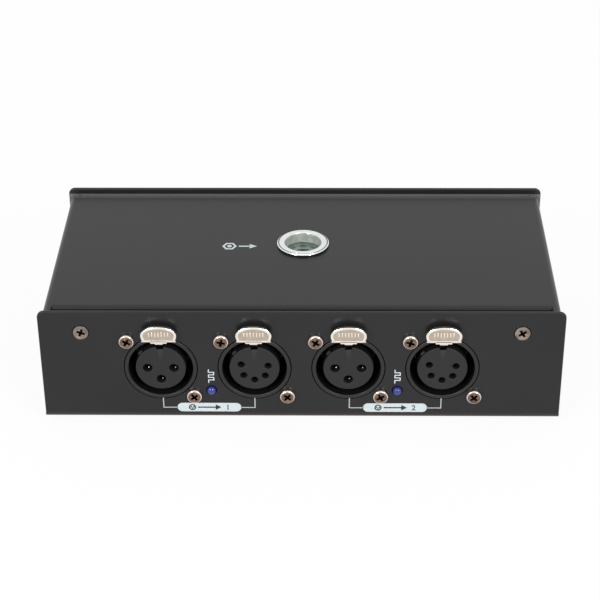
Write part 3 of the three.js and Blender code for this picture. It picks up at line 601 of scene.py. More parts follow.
class Finish(Tree):
    """A procedural surface on the piece's own coordinates."""

    def __init__(self, name):
        self.material = bpy.data.materials.new(name)
        super().__init__(self.material)
        self.nodes.clear()
        self.place = self.add("ShaderNodeTexCoord", output="Object")

    def clouds(self, size, detail=2.0):
        """Soft variation around a half, with features of a size in millimetres."""
        sockets = {"Vector": self.place, "Scale": 1 / (size * MM), "Detail": detail}
        return self.add("ShaderNodeTexNoise", {}, sockets)

    def specks(self, spacing, size):
        """Small round spots, as a mask."""
        sockets = {"Vector": self.place, "Scale": 1 / (spacing * MM)}
        return self.add("ShaderNodeTexVoronoi", {}, sockets) < size / spacing

    def axis(self, letter):
        """The distance along one axis of the case, in millimetres."""
        return self.add("ShaderNodeSeparateXYZ", {}, {"Vector": self.place}, output=letter) / MM

    def mix(self, mask, first, second):
        return self.add("ShaderNodeMix", {"data_type": "RGBA"}, {0: mask, 6: first, 7: second}, output=2)

    def bump(self, height, depth):
        """A relief whose height of 0 to 1 spans a depth in millimetres."""
        return self.add("ShaderNodeBump", {}, {"Height": height, "Distance": depth * MM})

    def covered(self, surface):
        """Ends the tree with a shader and gives the material."""
        self.add("ShaderNodeOutputMaterial", {}, {"Surface": surface})
        return self.material

    def coat(self, tone, roughness, relief=None, **others):
        """The material of a shader, with its other sockets named with underscores for spaces."""
        sockets = {"Base Color": tone, "Roughness": roughness}
        if relief:
            sockets["Normal"] = relief
        sockets |= {name.replace("_", " "): value for name, value in others.items()}
        return self.covered(self.add("ShaderNodeBsdfPrincipled", {}, sockets))


def painted_steel():
    """Satin black stoving paint with a faint orange peel; painted reflection at the foot, painted highlight
    at the rear.
    """
    finish = Finish("painted_steel")
    peel = finish.clouds(0.8, 1.5)
    grit = finish.clouds(0.16, 1)
    haze = finish.clouds(34, 3)
    dust = finish.specks(7, 0.1)
    # Painted reflection: the fold at the foot is paler and warmer, standing in for the floor it mirrors.
    foot_painted_reflection = (panel_foot + 2.3 - finish.axis("Z")) / 1.8
    # Painted highlight: the cover's rear 3 mm, and the rear panel below the cover's top, are paler.
    rear_painted_highlight = (finish.axis("Y") - (cover_high.y - 3)) / 2.4 * (finish.axis("Z") < cover_high.z + weld)
    tone = finish.mix(haze, colour(27, 27, 28), colour(35, 34, 36))
    tone = finish.mix(foot_painted_reflection * 0.6, tone, colour(72, 60, 55))
    tone = finish.mix(rear_painted_highlight, tone, colour(104, 102, 104))
    tone = finish.mix(dust * 0.4, tone, colour(90, 88, 86))
    rough = 0.26 + haze * 0.08 + grit * 0.04
    relief = finish.bump(peel * 0.75 + grit * 0.25, 0.004)
    return finish.coat(tone, rough, relief, IOR=1.5, Specular_IOR_Level=0.29)


def moulded_plastic(name, shade, grain_size, depth, roughness):
    """Moulded black plastic with a spark eroded grain."""
    finish = Finish(name)
    grain = finish.clouds(grain_size, 2)
    patch = finish.clouds(9, 2)
    dust = finish.specks(4.2, 0.07)
    pale = tuple(min(1, value * 1.5) for value in shade[:3]) + (1,)
    tone = finish.mix(patch, shade, pale)
    tone = finish.mix(dust * 0.35, tone, colour(110, 108, 106))
    rough = roughness + grain * 0.12 + patch * 0.06
    return finish.coat(tone, rough, finish.bump(grain, depth), IOR=1.5, Specular_IOR_Level=0.48)


def plated(name, light, dark, roughness, grain_size=0.12, depth=0.004, metal=1.0):
    """Plated metal with a tumbled grain and faint stains; on a screw's dark face the stains are painted
    glints.
    """
    finish = Finish(name)
    grain = finish.clouds(grain_size, 2)
    stain_and_painted_glint = finish.clouds(1.6, 3)
    tone = finish.mix(stain_and_painted_glint, dark, light)
    rough = roughness + (grain - 0.5) * 0.14 + (stain_and_painted_glint - 0.5) * 0.1
    return finish.coat(tone, rough, finish.bump(grain, depth), Metallic=metal)


def tinted_resin():
    """Blue tinted clear resin of a status lamp, with painted shade that darkens it towards its root."""
    finish = Finish("blue_resin")
    swirl = finish.clouds(0.9, 2)
    # Painted shade: the resin darkens towards the lamp's root.
    depth = (finish.axis("Y") - (front_face - lamp_proud)) / (lamp_proud + lamp_body)
    tone = finish.mix(depth * 2 + swirl * 0.3, colour(20, 40, 136), colour(6, 10, 60))
    glow = finish.mix(swirl, colour(10, 22, 100), colour(20, 42, 140))
    polish = {"IOR": 1.5, "Coat_Weight": 0.6, "Coat_Roughness": 0.04}
    light = {"Emission_Color": glow, "Emission_Strength": 0.05}
    return finish.coat(tone, 0.12 + swirl * 0.06, **polish, **light)


def printed(name, shade, wear_and_painted_face):
    """Screen printed ink with a slightly uneven film."""
    finish = Finish(name)
    film = finish.clouds(0.35, 2)
    weave = finish.clouds(0.08, 1)
    tone = finish.mix(film, wear_and_painted_face, shade)
    return finish.coat(tone, 0.42 + film * 0.1, finish.bump(weave, 0.003))


def rubber():
    finish = Finish("rubber")
    grain = finish.clouds(0.3, 3)
    bloom = finish.clouds(4, 2)
    tone = finish.mix(bloom, colour(18, 18, 19), colour(40, 39, 38))
    return finish.coat(tone, 0.75 + grain * 0.15, finish.bump(grain, 0.02), Specular_IOR_Level=0.3)


def solder_mask():
    """Green board with copper tracks under its mask."""
    finish = Finish("solder_mask")
    long = finish.add("ShaderNodeMapping", {}, {"Vector": finish.place, "Scale": (1, 0.35, 1)})
    sockets = {"Vector": long, "Scale": 1 / (3.4 * MM), "Randomness": 0.55}
    cells = finish.add("ShaderNodeTexVoronoi", {"distance": "MANHATTAN", "feature": "F1"}, sockets)
    track = (cells > 0.42) * (cells < 0.56)
    cloud = finish.clouds(6, 2)
    tone = finish.mix(cloud, colour(12, 62, 34), colour(20, 78, 42))
    tone = finish.mix(track * 0.8, tone, colour(44, 122, 66))
    return finish.coat(tone, 0.3 + cloud * 0.15, finish.bump(track, 0.03), Coat_Weight=0.3)


def wound_ferrite():
    """Grey ferrite core round a winding under yellow tape."""
    finish = Finish("wound_ferrite")
    centre = middle("supply_transformer")
    away = abs(finish.axis("Y") - centre.y)
    low, high = corners("supply_transformer")
    height = finish.axis("Z") - low.z
    taped = (away > 2.3) * (height > 3.05) * (height < 10.9)
    grain = finish.clouds(0.25, 3)
    sockets = {"Vector": finish.place, "Scale": 1 / (1.8 * MM), "Distortion": 0.4}
    turns = finish.add("ShaderNodeTexWave", {"bands_direction": "Z"}, sockets)
    core = finish.mix(grain, colour(38, 38, 40), colour(62, 61, 62))
    tape = finish.mix(turns, colour(196, 150, 34), colour(222, 182, 62))
    rough = 0.62 - taped * 0.25 + grain * 0.1
    tone = finish.mix(taped, core, tape)
    return finish.coat(tone, rough, finish.bump(grain * (1 - taped) + turns * taped, 0.03))


def sleeved_can():
    """Capacitor in a printed black sleeve, with a bare metal top."""
    finish = Finish("sleeved_can")
    low, high = corners("smoothing_capacitor")
    top = finish.axis("Z") > high.z - 0.45
    across = finish.axis("X") - (low.x + high.x) / 2
    stripe = (across > 3.4) * (1 - top)
    film = finish.clouds(0.7, 2)
    sleeve = finish.mix(film, colour(22, 24, 34), colour(32, 34, 48))
    sleeve = finish.mix(stripe, sleeve, colour(170, 172, 176))
    tone = finish.mix(top, sleeve, colour(205, 206, 208))
    return finish.coat(tone, 0.32 + film * 0.1, finish.bump(film, 0.01), Metallic=top)


def chip_package(node):
    """Moulded driver package with tinned legs and a dot by its first leg."""
    finish = Finish("package_" + node)
    low, high = corners(node)
    centre = (low + high) / 2
    leg = abs(finish.axis("Y") - centre.y) > 3.22
    left = finish.axis("X") - (low.x + 1.3)
    near = finish.axis("Y") - (centre.y - 2.1)
    dot = (left * left + near * near) < 0.25
    grain = finish.clouds(0.12, 2)
    body = finish.mix(grain, colour(24, 24, 25), colour(40, 40, 41))
    body = finish.mix(dot, body, colour(96, 96, 97))
    rough = 0.55 - leg * 0.25 + grain * 0.1
    tone = finish.mix(leg, body, colour(205, 206, 208))
    return finish.coat(tone, rough, finish.bump(grain, 0.01), Metallic=leg)


def glass_and_caps():
    """Fuse: clear tube between two plated caps."""
    finish = Finish("fuse_glass")
    low, high = corners("fuse")
    along = abs(finish.axis("X") - (low.x + high.x) / 2)
    cap = along > (high.x - low.x) / 2 - 4.5
    film = finish.clouds(1.2, 2)
    clear = finish.mix(film, colour(214, 222, 222), colour(236, 240, 240))
    rough = 0.06 + cap * 0.2 + film * 0.05
    tone = finish.mix(cap, clear, colour(206, 204, 198))
    return finish.coat(tone, rough, Metallic=cap, Alpha=0.35 + cap * 0.65, IOR=1.5)


paint = painted_steel()
housing_plastic = moulded_plastic("housing_plastic", colour(9, 9, 10), 0.14, 0.004, 0.4)
collar_plastic = moulded_plastic("collar_plastic", colour(14, 14, 15), 0.14, 0.003, 0.3)
insert_plastic = moulded_plastic("insert_plastic", colour(12, 12, 13), 0.2, 0.004, 0.5)
nickel = plated("satin_nickel", colour(250, 244, 236), colour(236, 226, 214), 0.24)
# Painted shade: the tab's grained field is a darker copy of its nickel; its grain is real.
nickel_grain_painted_shade = plated("grained_nickel_painted_shade", colour(206, 193, 178), colour(172, 157, 144), 0.42, 0.2, 0.03)
screw_bright = plated("bright_screw", colour(244, 232, 222), colour(214, 198, 186), 0.2)
# Painted reflection: a pan screw's face is dark brown, with lighter painted glints.
screw_face_painted_reflection = plated("worn_screw_face", colour(172, 146, 130), colour(48, 32, 25), 0.3, 0.5, 0.06)
screw_dark = plated("dark_screw", colour(196, 180, 168), colour(46, 38, 33), 0.24, 0.5, 0.06)
# Painted shade: the dark finish of a screw's cross recess.
recess_painted_shade = plated("screw_recess", colour(52, 40, 34), colour(18, 14, 12), 0.42)
zinc_bore = plated("zinc_bore", colour(232, 238, 230), colour(132, 144, 134), 0.5, 0.3, 0.02, 0.35)
# Painted shade: darker zinc copies for the deep thread, and for the flange's groove and side.
zinc_thread_painted_shade = plated("zinc_thread_painted_shade", colour(150, 162, 156), colour(84, 94, 90), 0.36, 0.3, 0.02)
zinc_painted_shade = plated("zinc_painted_shade", colour(96, 104, 102), colour(52, 58, 56), 0.3, 0.3, 0.01)
zinc = plated("zinc_plate", colour(236, 238, 238), colour(214, 219, 218), 0.16, 0.3, 0.004)
tin = plated("tinned", colour(224, 224, 226), colour(196, 196, 200), 0.26)
gilt = plated("contact_metal", colour(236, 220, 176), colour(208, 186, 136), 0.22)
resin = tinted_resin()
white_ink = printed("white_ink", colour(204, 213, 216), colour(190, 201, 204))
grey_ink = printed("grey_ink", colour(186, 190, 190), colour(160, 164, 164))
dark_ink = printed("dark_ink", colour(22, 24, 28), colour(34, 36, 40))
foot_rubber = rubber()
shell_looks = [housing_plastic, collar_plastic]


# Folded chassis
def open_fold(low, high, gone, upper):
    """A sheet folded along two edges: a block without some sides, bent, then given its thickness."""
    bm = block(low, high)
    bmesh.ops.delete(bm, geom=[f for f in bm.faces if gone(f.normal)], context="FACES")
    bends = [e for e in bm.edges if len(e.link_faces) == 2]
    outward(bevelled(bm, bends, bend_radius, bend_steps))
    level = next(f for f in bm.faces if abs(f.normal.z) > 0.99)
    if (level.normal.z > 0) != upper:
        bmesh.ops.reverse_faces(bm, faces=bm.faces)
    bmesh.ops.solidify(bm, geom=bm.faces[:], thickness=sheet)
    return outward(bm)


ears = ((-ear_offset, ear_offset), (ear_offset, -ear_offset))


def facing(seat):
    """Half a turn for a connector on the rear panel."""
    return math.pi if seat.y > 0 else 0


def connector_holes(seat):
    """Holes of one connector in the panel."""
    screws = [rod(pan_shank + cover_screw_gap, *through, x, seat.z + z) for x, z in ears]
    hole = rod(collar_radius + panel_hole_gap, *through, z=seat.z, steps=ring_steps)
    return moved(spun(joined(hole, *screws), facing(seat), "Z"), seat.x, seat.y)


def latch_room(seat, half, top, face, depth):
    """Room over a socket's axis for its latch, to a depth behind a face."""
    low = (seat.x - half, face - overrun, socket_axis)
    return block(low, (seat.x + half, face + depth, socket_axis + top))


def lamp_and_screw_holes():
    """Round holes in the front panel for the status lamps and in both panels for the cover's screws."""
    near, far = through
    lamp_hole = lamp_radius + lamp_hole_gap
    tools = [moved(rod(lamp_hole, near, far, x, lamp_axis), y=front_face) for x in lamp_places]
    head = cover_screw_head + cover_screw_gap
    cone = [(head, 0), (screw_hole, cover_screw_cone)]
    section = [(0, near), (head, near), *cone, (screw_hole, far), (0, far)]
    for face, turn in ((front_face, 0), (rear_face, math.pi)):
        for x in (-cover_screw_x, cover_screw_x):
            sink = moved(turned(section, small_steps), x, 0, cover_screw_z)
            tools.append(moved(spun(sink, turn, "Z"), y=face))
    return tools


def inlet_holes():
    """Window and screw holes of the mains inlet in the rear panel."""
    centre = middle("inlet_housing")
    half = inlet_half_width + panel_hole_gap
    rise = inlet_half_height + panel_hole_gap
    near, far = rear_face - sheet - overrun, rear_face + overrun
    window = block((centre.x - half, near, centre.z - rise), (centre.x + half, far, centre.z + rise))
    spread = (-inlet_screw_spread, inlet_screw_spread)
    return joined(window, *[rod(screw_hole, near, far, centre.x + x, centre.z) for x in spread])


def chassis():
    """Front panel, base and rear panel folded from one sheet, with the board's standoffs."""
    low, high = (-half_width, front_face, panel_foot), (half_width, rear_face, panel_top)
    body = open_fold(low, high, lambda n: n.z > 0.5 or abs(n.x) > 0.5, False)
    across = [e for e in running(body, 1) if e.calc_length() < 2 * sheet]
    crowns = [e for e in across if e.verts[0].co.z > panel_top - weld]
    bevelled(body, crowns, panel_top_corner, bend_steps)
    straight = panel_foot + bend_radius - weld
    rims = [e for e in sharp_edges(body) if min(v.co.z for v in e.verts) > straight]
    bevelled(body, rims, paint_ease, 4)
    rooms = []
    for side in (-1, 1):
        near, far = sorted((side * base_half, side * (half_width + overrun)))
        low = (near, front_face + sheet, panel_foot - overrun)
        rooms.append(block(low, (far, rear_face - sheet, panel_foot + bend_riser + overrun)))
    body = combined(body, rooms)
    holes = [*map(connector_holes, seats.values()), *lamp_and_screw_holes(), inlet_holes()]
    slot = (latch_slot_half, latch_slot_top, front_face, 2 * sheet)
    slots = [latch_room(seats[name], *slot) for name in outputs]
    body = combined(body, [joined(*holes), joined(*slots)])
    tube = ring(standoff_bore, standoff_radius, 0, standoff_height)
    for x, y in standoff_places:
        post = spun(turned(tube, small_steps), math.pi / 2, "X")
        body = joined(body, moved(post, x, y, panel_foot + sheet))
    piece("chassis_sheet", body, [paint], ["chassis"])


# Cover
def folded_edge(low, high, roll, back):
    """Edge of the cover over a part of its width, folded down some way back from the panel."""
    wall = cover_low.y + back
    centre = wall + roll
    crest = cover_high.z - hair
    level = crest - roll
    flat = cover_low.y + edge_reach
    angles = [math.pi / 2 * i / roll_steps for i in range(roll_steps + 1)]
    outer = [(centre - roll * math.cos(a), level + roll * math.sin(a)) for a in angles]
    bend = roll - sheet
    inner = [(centre - bend * math.cos(a), level + bend * math.sin(a)) for a in reversed(angles)]
    foot = [(wall + sheet, fold_foot), (wall, fold_foot)]
    return drawn_out([*foot, *outer, (flat, crest), (flat, crest - sheet), *inner], low, high)


def cover_edge(roll, back):
    """One whole edge of the cover, folded down, with a strip near each end that a screw holds."""
    half = cover_high.x - fold_end
    foot = cover_high.z - sheet - strip_length
    near = cover_low.y
    strips = []
    holes = []
    for x in (-cover_screw_x, cover_screw_x):
        left, right = x - strip_width / 2, x + strip_width / 2
        strip = block((left, near, foot), (right, near + sheet, fold_foot + sheet))
        feet = [e for e in running(strip, 1) if e.verts[0].co.z < foot + weld]
        shelf = block((left, near, fold_foot), (right, near + back + sheet, fold_foot + sheet))
        strips += [bevelled(strip, feet, strip_corner, bend_steps), shelf]
        holes.append(rod(screw_hole, near - overrun, near + sheet + overrun, x, cover_screw_z))
    edge = combined(folded_edge(-half, half, roll, back), strips, "UNION")
    return combined(edge, [joined(*holes)])


def cover():
    """Top and sides folded from one sheet, with the front and rear edges folded down between the sides."""
    reach = cover_high.y
    low = (cover_low.x, -reach, cover_low.z)
    shell = open_fold(low, (cover_high.x, reach, cover_high.z), lambda n: n.z < -0.5 or abs(n.y) > 0.5, True)
    across = cover_high.x - fold_end - hair
    flat = reach - edge_reach + seam
    under, over = cover_high.z - sheet - overrun, cover_high.z + overrun
    spans = ((-reach - overrun, -flat), (flat, reach + overrun))
    ends = [block((-across, near, under), (across, far, over)) for near, far in spans]
    sizes = (latch_room_half, latch_room_top, cover_low.y, edge_reach + overrun)
    rooms = [latch_room(seats[name], *sizes) for name in outputs]
    front_edge = combined(cover_edge(front_fold, front_fold_back), [joined(*rooms)])
    rear_edge = spun(cover_edge(rear_fold, 0), math.pi, "Z")
    body = combined(combined(shell, ends), [front_edge, rear_edge], "UNION")
    nut = middle("rivet_nut")
    bore = nut_body_radius + cover_screw_gap
    hole = spun(rod(bore, *through, steps=ring_steps), -math.pi / 2, "X")
    body = combined(body, [moved(hole, nut.x, nut.y, cover_high.z)])
    piece("cover_sheet", body, [paint], ["cover"])


# Screws with a cross recess
def cross_recess(face, half, depth):
    """The tools that sink a cross recess below a head's face."""
    blades = []
    near, deepest = face - overrun, face + depth
    for turn in (0, math.pi / 2):
        blade = block((-half, near, -recess_width / 2), (half, deepest, recess_width / 2))
        deep = [v for v in blade.verts if v.co.y > face]
        bmesh.ops.scale(blade, vec=(recess_taper_share, 1, recess_thin_share), verts=deep)
        blades.append(spun(blade, turn, "Y"))
    depths = (near, face, deepest)
    well = [(0, near), *zip(recess_well, depths), (0, deepest + 0.15)]
    return [*blades, turned(well, small_steps)]


def screw(name, place, turn, twist, section, face, half, depth, finishes, slot, wear_and_painted_face=0.0):
    """A screw with a cross recess, twisted to where it stopped, its face painted dark out to a radius as a
    painted reflection.
    """
    body = combined(turned(eased(section, head_ease), small_steps), cross_recess(face, half, depth))
    body.normal_update()
    # Painted shade: the cross recess takes the dark finish.
    marked(body, 1, lambda c: face + 0.06 < c.y < face + depth + 0.3 and math.hypot(c.x, c.z) < half - 0.02)
    # Painted reflection: the face within the radius takes the dark finish with painted glints.
    marked(body, 2, lambda c: c.y < face + 0.06 and math.hypot(c.x, c.z) < wear_and_painted_face)
    spun(body, math.radians(twist), "Y")
    piece(name.replace("_screw", "_fixing"), body, finishes, [name], place, turn)


pan_section = [
    (0, -pan_height),
    (pan_radius * 0.86, -pan_height),
    (pan_radius, -pan_height * 0.7),
    (pan_radius, 0),
    (pan_shank, 0),
    (pan_shank, pan_length),
    (0, pan_length),
]
twists = (28, 52, 12, 40, 33, 61, 18, 47, 25, 70, 8, 44)


def connector_screws():
    # The screw's face is painted dark, as a painted reflection, out to this radius.
    wear_and_painted_face = pan_radius * pan_face_share
    shape = (pan_section, -pan_height, recess_half, recess_depth)
    look = ([screw_bright, recess_painted_shade, screw_face_painted_reflection], "screw_nickel", wear_and_painted_face)
    turns = iter(twists)
    for name, seat in seats.items():
        turn = facing(seat)
        side = -1 if turn else 1
        for end, (x, z) in zip(("upper", "lower"), ears):
            place = seat + Vector((x * side, 0, z))
            screw(f"{name}_screw_{end}", place, turn, next(turns), *shape, *look)


def sunk_section(head, rim, cone):
    """Half section of a countersunk screw."""
    point = [(cover_screw_shank, cone), (cover_screw_shank, sunk_length - 0.5), (0, sunk_length)]
    return [(0, 0), (head, 0), (rim, sunk_rim), *point]


def case_screws():
    section = sunk_section(cover_screw_head, cover_screw_head, cover_screw_cone)
    look = ([screw_dark, recess_painted_shade, screw_dark], "dark_screw")
    for end, face, turn in (("front", front_face, 0), ("rear", rear_face, math.pi)):
        for side, twist in (("left", 20), ("right", 58)):
            name = f"cover_screw_{end}_{side}"
            place = (middle(name).x, face, cover_screw_z)
            screw(name, place, turn, twist, section, 0, recess_half, cover_recess_depth, *look)
    section = sunk_section(inlet_screw_head, inlet_screw_rim, inlet_screw_cone)
    for number, twist in ((1, 35), (2, 80)):
        name = f"inlet_screw_{number}"
        low, high = corners(name)
        place = ((low.x + high.x) / 2, high.y, (low.z + high.z) / 2)
        screw(name, place, math.pi, twist, section, 0, *inlet_recess, *look)


# Clamp nut
def clamp_nut():
    """Plated rivet nut: a grooved flange with eased edges, a plain lead and a threaded bore."""
    start = nut_lead_depth + nut_lead_radius - nut_thread_crest
    thread = []
    while start + nut_thread_pitch < nut_length - 0.3:
        thread += [(nut_thread_radius, start), (nut_thread_crest, start + nut_thread_rise)]
        thread += [(nut_thread_radius, start + nut_thread_run)]
        start += nut_thread_pitch
    groove = nut_flange - nut_groove_depth
    groove_in, groove_out = nut_groove_radius - nut_groove_half, nut_groove_radius + nut_groove_half
    section = [
        (nut_thread_radius, nut_length),
        (nut_body_radius, nut_length),
        (nut_body_radius, sheet + nut_bulb_height),
        (nut_bulb_radius, sheet + nut_bulb_height / 2),
        (nut_bulb_radius, sheet),
        (nut_body_radius, sheet),
        (nut_body_radius, 0),
        (nut_flange_radius, 0),
        (nut_flange_radius, -nut_side),
        (groove_out, -nut_flange + 0.03),
        (groove_out, -groove),
        (groove_in, -groove),
        (groove_in, -nut_flange),
        (nut_lip_radius, -nut_flange),
        (nut_lead_radius, -nut_flange + nut_lip_radius - nut_lead_radius),
        (nut_lead_radius, nut_lead_depth),
    ]
    nut = middle("rivet_nut")
    body = turned(eased(section, nut_ease, loop=True) + thread, 2 * ring_steps)
    def band(index, radii, depths):
        inner, outer = radii
        near, far = depths
        marked(body, index, lambda c: inner < math.hypot(c.x, c.z) < outer and near < c.y < far)

    inside = (0, nut_lead_radius + 0.06)
    band(1, inside, (-nut_flange + 0.3, nut_length))
    # Painted shade: the thread deep in the bore takes a darker zinc.
    band(2, inside, (nut_lead_depth - 0.1, nut_length + overrun))
    # Painted shade: the flange's groove and its side take a dark zinc.
    band(3, (groove_in - 0.03, groove_out + 0.03), (-nut_flange + 0.05, -0.1))
    band(3, (nut_flange_radius - 0.04, 2 * nut_flange_radius), (-nut_side + 0.05, nut_length))
    spun(body, -math.pi / 2, "X")
    looks = [zinc, zinc_bore, zinc_thread_painted_shade, zinc_painted_shade]
    piece("clamp_nut", body, looks, ["rivet_nut"], (nut.x, nut.y, cover_high.z))


# Output sockets
def pole_places(poles, side):
    """Places of a connector's poles, seen from its front, with a plug's mirrored."""
    angles = [math.radians(angle) for angle in poles["angles"]]
    return [(side * poles["ring"] * math.sin(a), -poles["ring"] * math.cos(a)) for a in angles]


def liner(bore, length):
    """Collar and barrel of a connector, turned finely over the frame's solid, with a duller rim."""
    body = turned(eased(ring(bore, collar_radius, -collar_proud, length), collar_ease, loop=True))
    edge = collar_radius - rim_width
    return marked(body, 1, lambda c: c.y < rim_depth - collar_proud or math.hypot(c.x, c.z) > edge)


def behind_panel(name, seat, turn, bore, depth):
    """The part of a connector's body that the panel hides, bored out for its finely turned liner."""
    body = behind(sheet, name, seat, turn)
    return combined(body, [rod(bore + liner_wall, 0, depth, steps=ring_steps)])


def socket_housing(name, seat):
    rest = behind_panel(name + "_housing", seat, 0, liner_radius, cavity_depth - liner_wall)
    body = joined(liner(liner_radius, cavity_depth), rest)
    piece(name + "_shell", body, shell_looks, [name + "_housing"], seat)


def finger_channel():
    """The channel through an insert's top for the latch's finger, with a small mouth and a sloping floor."""
    tool = block((-channel_half, mouth_depth, 0), (channel_half, channel_reach, pin_height))
    for vert in tool.verts:
        if vert.co.z < overrun:
            vert.co.z = channel_floor if vert.co.y < mouth_depth + weld else channel_floor - channel_slope
    near = -insert_proud - overrun
    mouth = block((-mouth_half, near, mouth_floor), (mouth_half, mouth_depth + overrun, pin_height))
    return [tool, mouth]


def socket_insert(name, seat, poles):
    near = -insert_proud
    section = flanged(insert_radius, near, insert_length, insert_flange_radius, insert_flange)
    hole = poles["hole"]
    mouth = [(0, near - overrun), (hole + hole_ease + overrun, near - overrun)]
    well = [*mouth, (hole, near + hole_ease), (hole, contact_depth), (0, contact_depth)]
    places = pole_places(poles, 1)
    wells = at_each(places, well)
    body = combined(turned(eased(section, insert_ease)), [wells, *finger_channel()])
    key_low = (-key_width / 2, key_start, insert_radius - key_rise)
    key = block(key_low, (key_width / 2, key_length, insert_radius + key_rise))
    bevelled(key, sharp_edges(key), key_ease, 2)
    legs = insert_legs(name, seat, 0, insert_flange_radius)
    body = joined(body, spun(key, math.radians(-key_angle), "Y"), legs)
    piece(name + "_core", body, [insert_plastic], [name + "_insert"], seat)
    contacts(name, seat, poles, places)


def insert_legs(name, seat, turn, radius):
    """The solder legs below an insert's flange, kept as the frame has them."""
    return beyond(copied(name + "_insert", seat, turn), (0, 0, -radius - leg_gap), (0, 0, -1))


def contacts(name, seat, poles, places):
    """Sleeves deep in an insert's wells, with the bright end of a spring leaf in wide ones."""
    radius = poles["hole"] - contact_gap
    deep = contact_depth - 0.3
    sleeve = eased(ring(radius - contact_wall, radius, contact_sleeve, deep), sleeve_ease, loop=True)
    body = at_each(places, sleeve)
    if poles["leaf"]:
        leaf = eased(ring(0, poles["leaf"], leaf_depth, deep), leaf_ease)
        body = joined(body, at_each([(x + leaf_aside, z - leaf_drop) for x, z in places], leaf))
    piece(name + "_contacts", body, [tin], (), seat)


# Latches
def tab_plate():
    """Stamped press tab with a raised rim round a grained field, drawn flat and then stood up."""
    bm = bmesh.new()
    bmesh.ops.create_circle(bm, cap_ends=True, cap_tris=False, segments=ring_steps, radius=1)
    for vert in bm.verts:
        vert.co.x *= tab_half_width
        vert.co.y *= tab_rise if vert.co.y > 0 else tab_fall
    moved(bm, y=tab_centre)
    cut_off(bm, (0, tab_flat, 0), (0, 1, 0))
    field = bm.faces[:]
    for width, rise in (tab_edge, (tab_rim, 0), (tab_step, -tab_sink)):
        bmesh.ops.inset_region(bm, faces=field, thickness=width, depth=rise, use_boundary=True)
    # The field takes the darker nickel, as painted shade.
    for face in field:
        face.material_index = 1
    backs = bmesh.ops.extrude_edge_only(bm, edges=[e for e in bm.edges if e.is_boundary])
    pulled(bm, backs, (0, 0, tab_front - tab_back + tab_edge[1]))
    bmesh.ops.contextual_create(bm, geom=[e for e in bm.edges if e.is_boundary])
    spun(outward(bm), math.pi / 2, "X")
    return moved(bm, y=tab_front - min(v.co.y for v in bm.verts))


def tab_foot():
    """Folded foot of the tab: pointed ears at its ends, a lip and a tongue in its middle."""
    near = tab_front + 0.05
    bar = block((-ear_half, near, tab_flat - ear_drop), (ear_half, tab_back, tab_flat + ear_height))
    for vert in bar.verts:
        if vert.co.z < tab_flat:
            vert.co.x += math.copysign(ear_reach, vert.co.x)
    lip_low = tab_flat - lip_height
    lip = block((-lip_width / 2, near, lip_low), (lip_width / 2, tab_back, tab_flat + 0.1))
    tongue_low = lip_low - tongue_height
    tongue = block((-tongue_width / 2, near + 0.3, tongue_low), (tongue_width / 2, tab_back, lip_low + 0.2))
    parts = [bar, lip, tongue]
    for part in parts:
        bevelled(part, sharp_edges(part, 30), tab_foot_ease, 2)
    return joined(*parts)


def grip():
    """Row of low ribs across the tab's field."""
    ribs = []
    level = tab_centre + grip_lift
    for i in range(grip_ribs):
        x = (i - (grip_ribs - 1) / 2) * grip_pitch
        half = grip_height * math.sqrt(1 - (x / tab_half_width) ** 2) / 2
        low = (x - grip_width / 2, tab_front + 0.02, level - half)
        rib = block(low, (x + grip_width / 2, tab_front + 0.4, level + half))
        bevelled(rib, sharp_edges(rib), grip_ease, 2)
        ribs.append(rib)
    return joined(*ribs)


def latch(name, seat):
    lever = behind(tab_back - 2 * cut_gap, name + "_latch", seat)
    bmesh.ops.dissolve_limit(lever, angle_limit=math.radians(1), verts=lever.verts, edges=lever.edges)
    body = joined(tab_plate(), tab_foot(), grip(), lever)
    rider = name.replace("output", "latch")
    piece(name + "_lever", body, [nickel, nickel_grain_painted_shade], [name + "_latch"], seat, body=rider)


# Status lamps
def status_lamp(number):
    name = f"status_lamp_{number}"
    centre = lamp_radius - lamp_proud
    angles = [math.radians(5 * i) for i in range(19)]
    dome = [(lamp_radius * math.sin(a), centre - lamp_radius * math.cos(a)) for a in angles]
    flange = ring(lamp_radius, lamp_flange_radius, lamp_body - lamp_flange, lamp_body)[:3]
    place = Vector((lamp_places[number - 1], front_face, lamp_axis))
    wires = marked(behind(lamp_body, name, place), 1)
    body = joined(turned([*dome, *flange, (0, lamp_body)], small_steps), wires)
    piece(name + "_lens", body, [resin, tin], [name], place)


# Input plugs
def input_plug(name, seat, poles):
    turn = facing(seat)
    near = -collar_proud - overrun
    window = block((-window_width / 2, near, 0), (window_width / 2, window_length, plug_bore + window_rise))
    shell = combined(liner(plug_bore, plug_length), [window])
    rest = behind_panel(name + "_housing", seat, turn, plug_bore + window_rise, plug_length + overrun)
    body = joined(shell, rest)
    piece(name + "_shell", body, shell_looks, [name + "_housing"], seat, turn)
    section = flanged(plug_disc_radius, plug_floor, plug_length, plug_flange_radius, plug_flange)
    pin = eased(ring(0, poles["pin"], plug_pin_tip, plug_floor + overrun), plug_pin_ease)
    pins = marked(at_each(pole_places(poles, -1), pin), 1)
    legs = insert_legs(name, seat, turn, plug_flange_radius)
    body = joined(turned(eased(section, plug_ease)), pins, legs)
    looks = [insert_plastic, gilt]
    piece(name + "_core", body, looks, [name + "_insert"], seat, turn)


# Pieces kept in the frame's shape, with their edges eased
def softened(node, name, width, finish, body="splitter"):
    bm = copied(node)
    bmesh.ops.dissolve_limit(bm, angle_limit=math.radians(1), verts=bm.verts, edges=bm.edges)
    made = piece(name, bm, [finish], [node], body=body)
    ease = made.modifiers.new("ease", "BEVEL")
    ease.width = width * MM
    ease.segments = 2
    ease.limit_method = "ANGLE"
    ease.angle_limit = math.radians(40)
    ease.use_clamp_overlap = True
    made.modifiers.move(1, 0)


